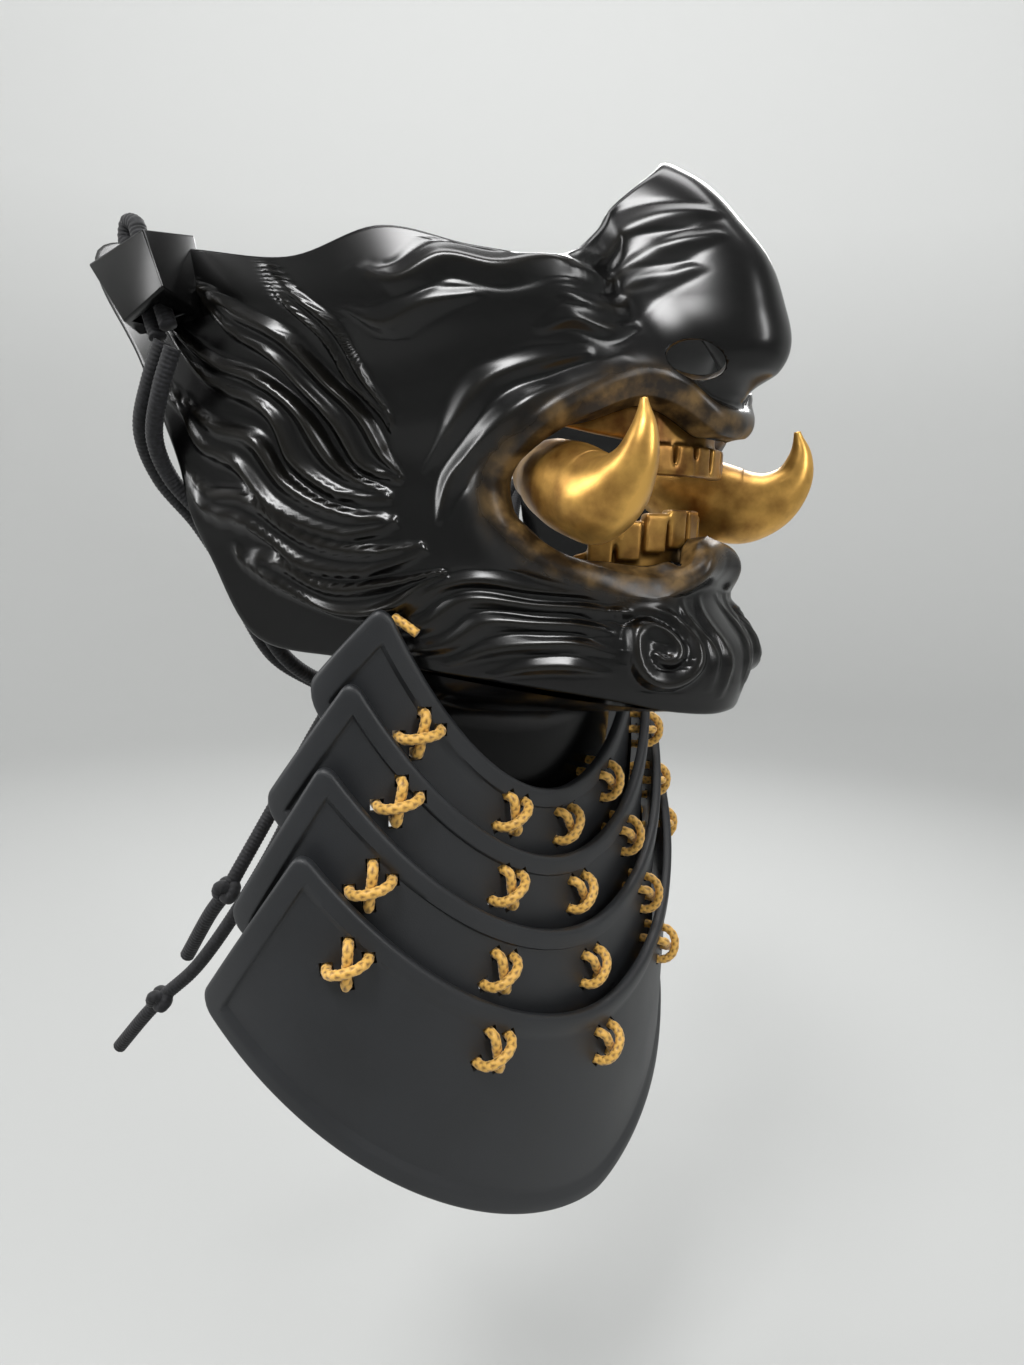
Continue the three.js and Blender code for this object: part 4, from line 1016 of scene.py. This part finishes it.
def flange_place(u, v):
    column, row = 2 * u - 1, np.rint(v * (2 * FLANGE_ROWS + 1)).astype(int)
    inner = row > FLANGE_ROWS
    step = np.where(inner, 2 * FLANGE_ROWS + 1 - row, row) / FLANGE_ROWS
    wide = np.abs(column)
    jaw = [np.full(u.shape, value) for value in values_at(SECTIONS[:, 0], SECTIONS[:, 1:], np.array(-48.0))]
    jaw_p = plan_point(jaw, 0.75 * column) - 1.4 * plan_normal(jaw, 0.75 * column)
    jaw_z = -52.4 + 6.6 * wide**2 + inner * WALL
    plan = PLATES[0][:6]
    side = plan_normal(plan, 0.6 * column)
    low_p = plan_point(plan, 0.6 * column) - side * (FLANGE_BEHIND + inner * WALL)[:, None]
    top_z = -60 + 8 * wide**2
    low_z = -105 + 38 * wide**LOW_CURVE
    bend = 0.4
    f, g = np.clip(step / bend, 0, 1), np.clip((step - bend) / (1 - bend), 0, 1)
    p = jaw_p + (low_p - jaw_p) * f[:, None]
    z = jaw_z + (top_z + inner * WALL - jaw_z) * f + (low_z - top_z - inner * WALL) * g
    return np.concatenate([p, z[:, None]], axis=1)


flange = shaped_sheet("throat_flange", FLANGE_COLUMNS, 2 * FLANGE_ROWS + 1, flange_place)
finished(flange, gloss_black, "shell", "mask_shell")

# ---------------------------------------------------------------------------------------------------
# Stage: a pale matt floor that rises into a seamless wall all round, and soft studio light.
pale, tree, shader = new_material("pale_paper_backdrop", roughness=0.9)
place = add_node(tree, "ShaderNodeTexCoord")
axes = add_node(tree, "ShaderNodeSeparateXYZ", {"Vector": place.outputs["Object"]})
# the backdrop is coloured darker low down and lighter up the wall: painted shade on the floor that evens out the
# stronger light it gets
rise = add_node(tree, "ShaderNodeMapRange", {"Value": axes.outputs["Z"], "From Min": -0.33, "From Max": 0.5})
tint = add_node(
    tree, "ShaderNodeMix", {"Factor": rise.outputs["Result"], "A": linear("#a3a4a3"), "B": linear("#c8c9c8")},
    data_type="RGBA",
)
tree.links.new(tint.outputs["Result"], shader.inputs["Base Color"])
FLOOR_Z, FLAT_RADIUS, BOWL_ROUND, BOWL_HEIGHT = -330.0, 1100.0, 500.0, 1700.0


def bowl_place(u, v):
    angle = 2 * np.pi * u
    run = v * (FLAT_RADIUS + BOWL_ROUND * np.pi / 2 + BOWL_HEIGHT)
    bend = np.clip((run - FLAT_RADIUS) / BOWL_ROUND, 0, np.pi / 2)
    r = np.minimum(run, FLAT_RADIUS) + BOWL_ROUND * np.sin(bend)
    z = BOWL_ROUND * (1 - np.cos(bend)) + np.maximum(run - FLAT_RADIUS - BOWL_ROUND * np.pi / 2, 0)
    return np.stack([r * np.cos(angle), r * np.sin(angle), FLOOR_Z + z], axis=1)


floor = shaped_sheet("floor", 96, 64, bowl_place)
bpy.ops.object.mode_set(mode="EDIT")
bpy.ops.mesh.select_all(action="SELECT")
bpy.ops.mesh.flip_normals()
bpy.ops.object.mode_set(mode="OBJECT")
floor.data.materials.append(pale)
floor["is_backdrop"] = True

world = bpy.data.worlds.new("studio")
world.use_nodes = True
world.node_tree.nodes["Background"].inputs["Color"].default_value = (1, 1, 1, 1)
world.node_tree.nodes["Background"].inputs["Strength"].default_value = 0.3
bpy.context.scene.world = world


def soft_light(name, place, target, size, power):
    data = bpy.data.lights.new(name, "AREA")
    data.shape, data.size, data.size_y, data.energy = "RECTANGLE", size[0], size[1], power
    lamp = bpy.data.objects.new(name, data)
    bpy.context.scene.collection.objects.link(lamp)
    away = Vector(place) - Vector(target)
    lamp.matrix_world = Matrix.Translation(place) @ away.to_track_quat("Z", "Y").to_matrix().to_4x4()


soft_light("key", (-0.7, -0.1, 0.85), (0, 0.02, 0), (0.3, 0.3), 9.0)
soft_light("front_strip", (-0.1, -1.0, 0.45), (0, 0, -0.03), (0.16, 0.7), 5.0)
soft_light("rear_edge", (-0.75, 0.85, 0.35), (0, 0.03, 0), (0.14, 0.7), 6.0)
soft_light("left_edge", (0.7, 0.35, 0.5), (0, 0.03, 0), (0.4, 0.4), 6.0)
soft_light("wall_wash", (0.2, 0.2, 1.25), (1.3, 1.0, -0.1), (0.9, 0.9), 18.0)
bpy.context.scene.view_settings.view_transform = "Standard"

size = {"cad": cad_box, "finished": [list(corner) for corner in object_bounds()]}
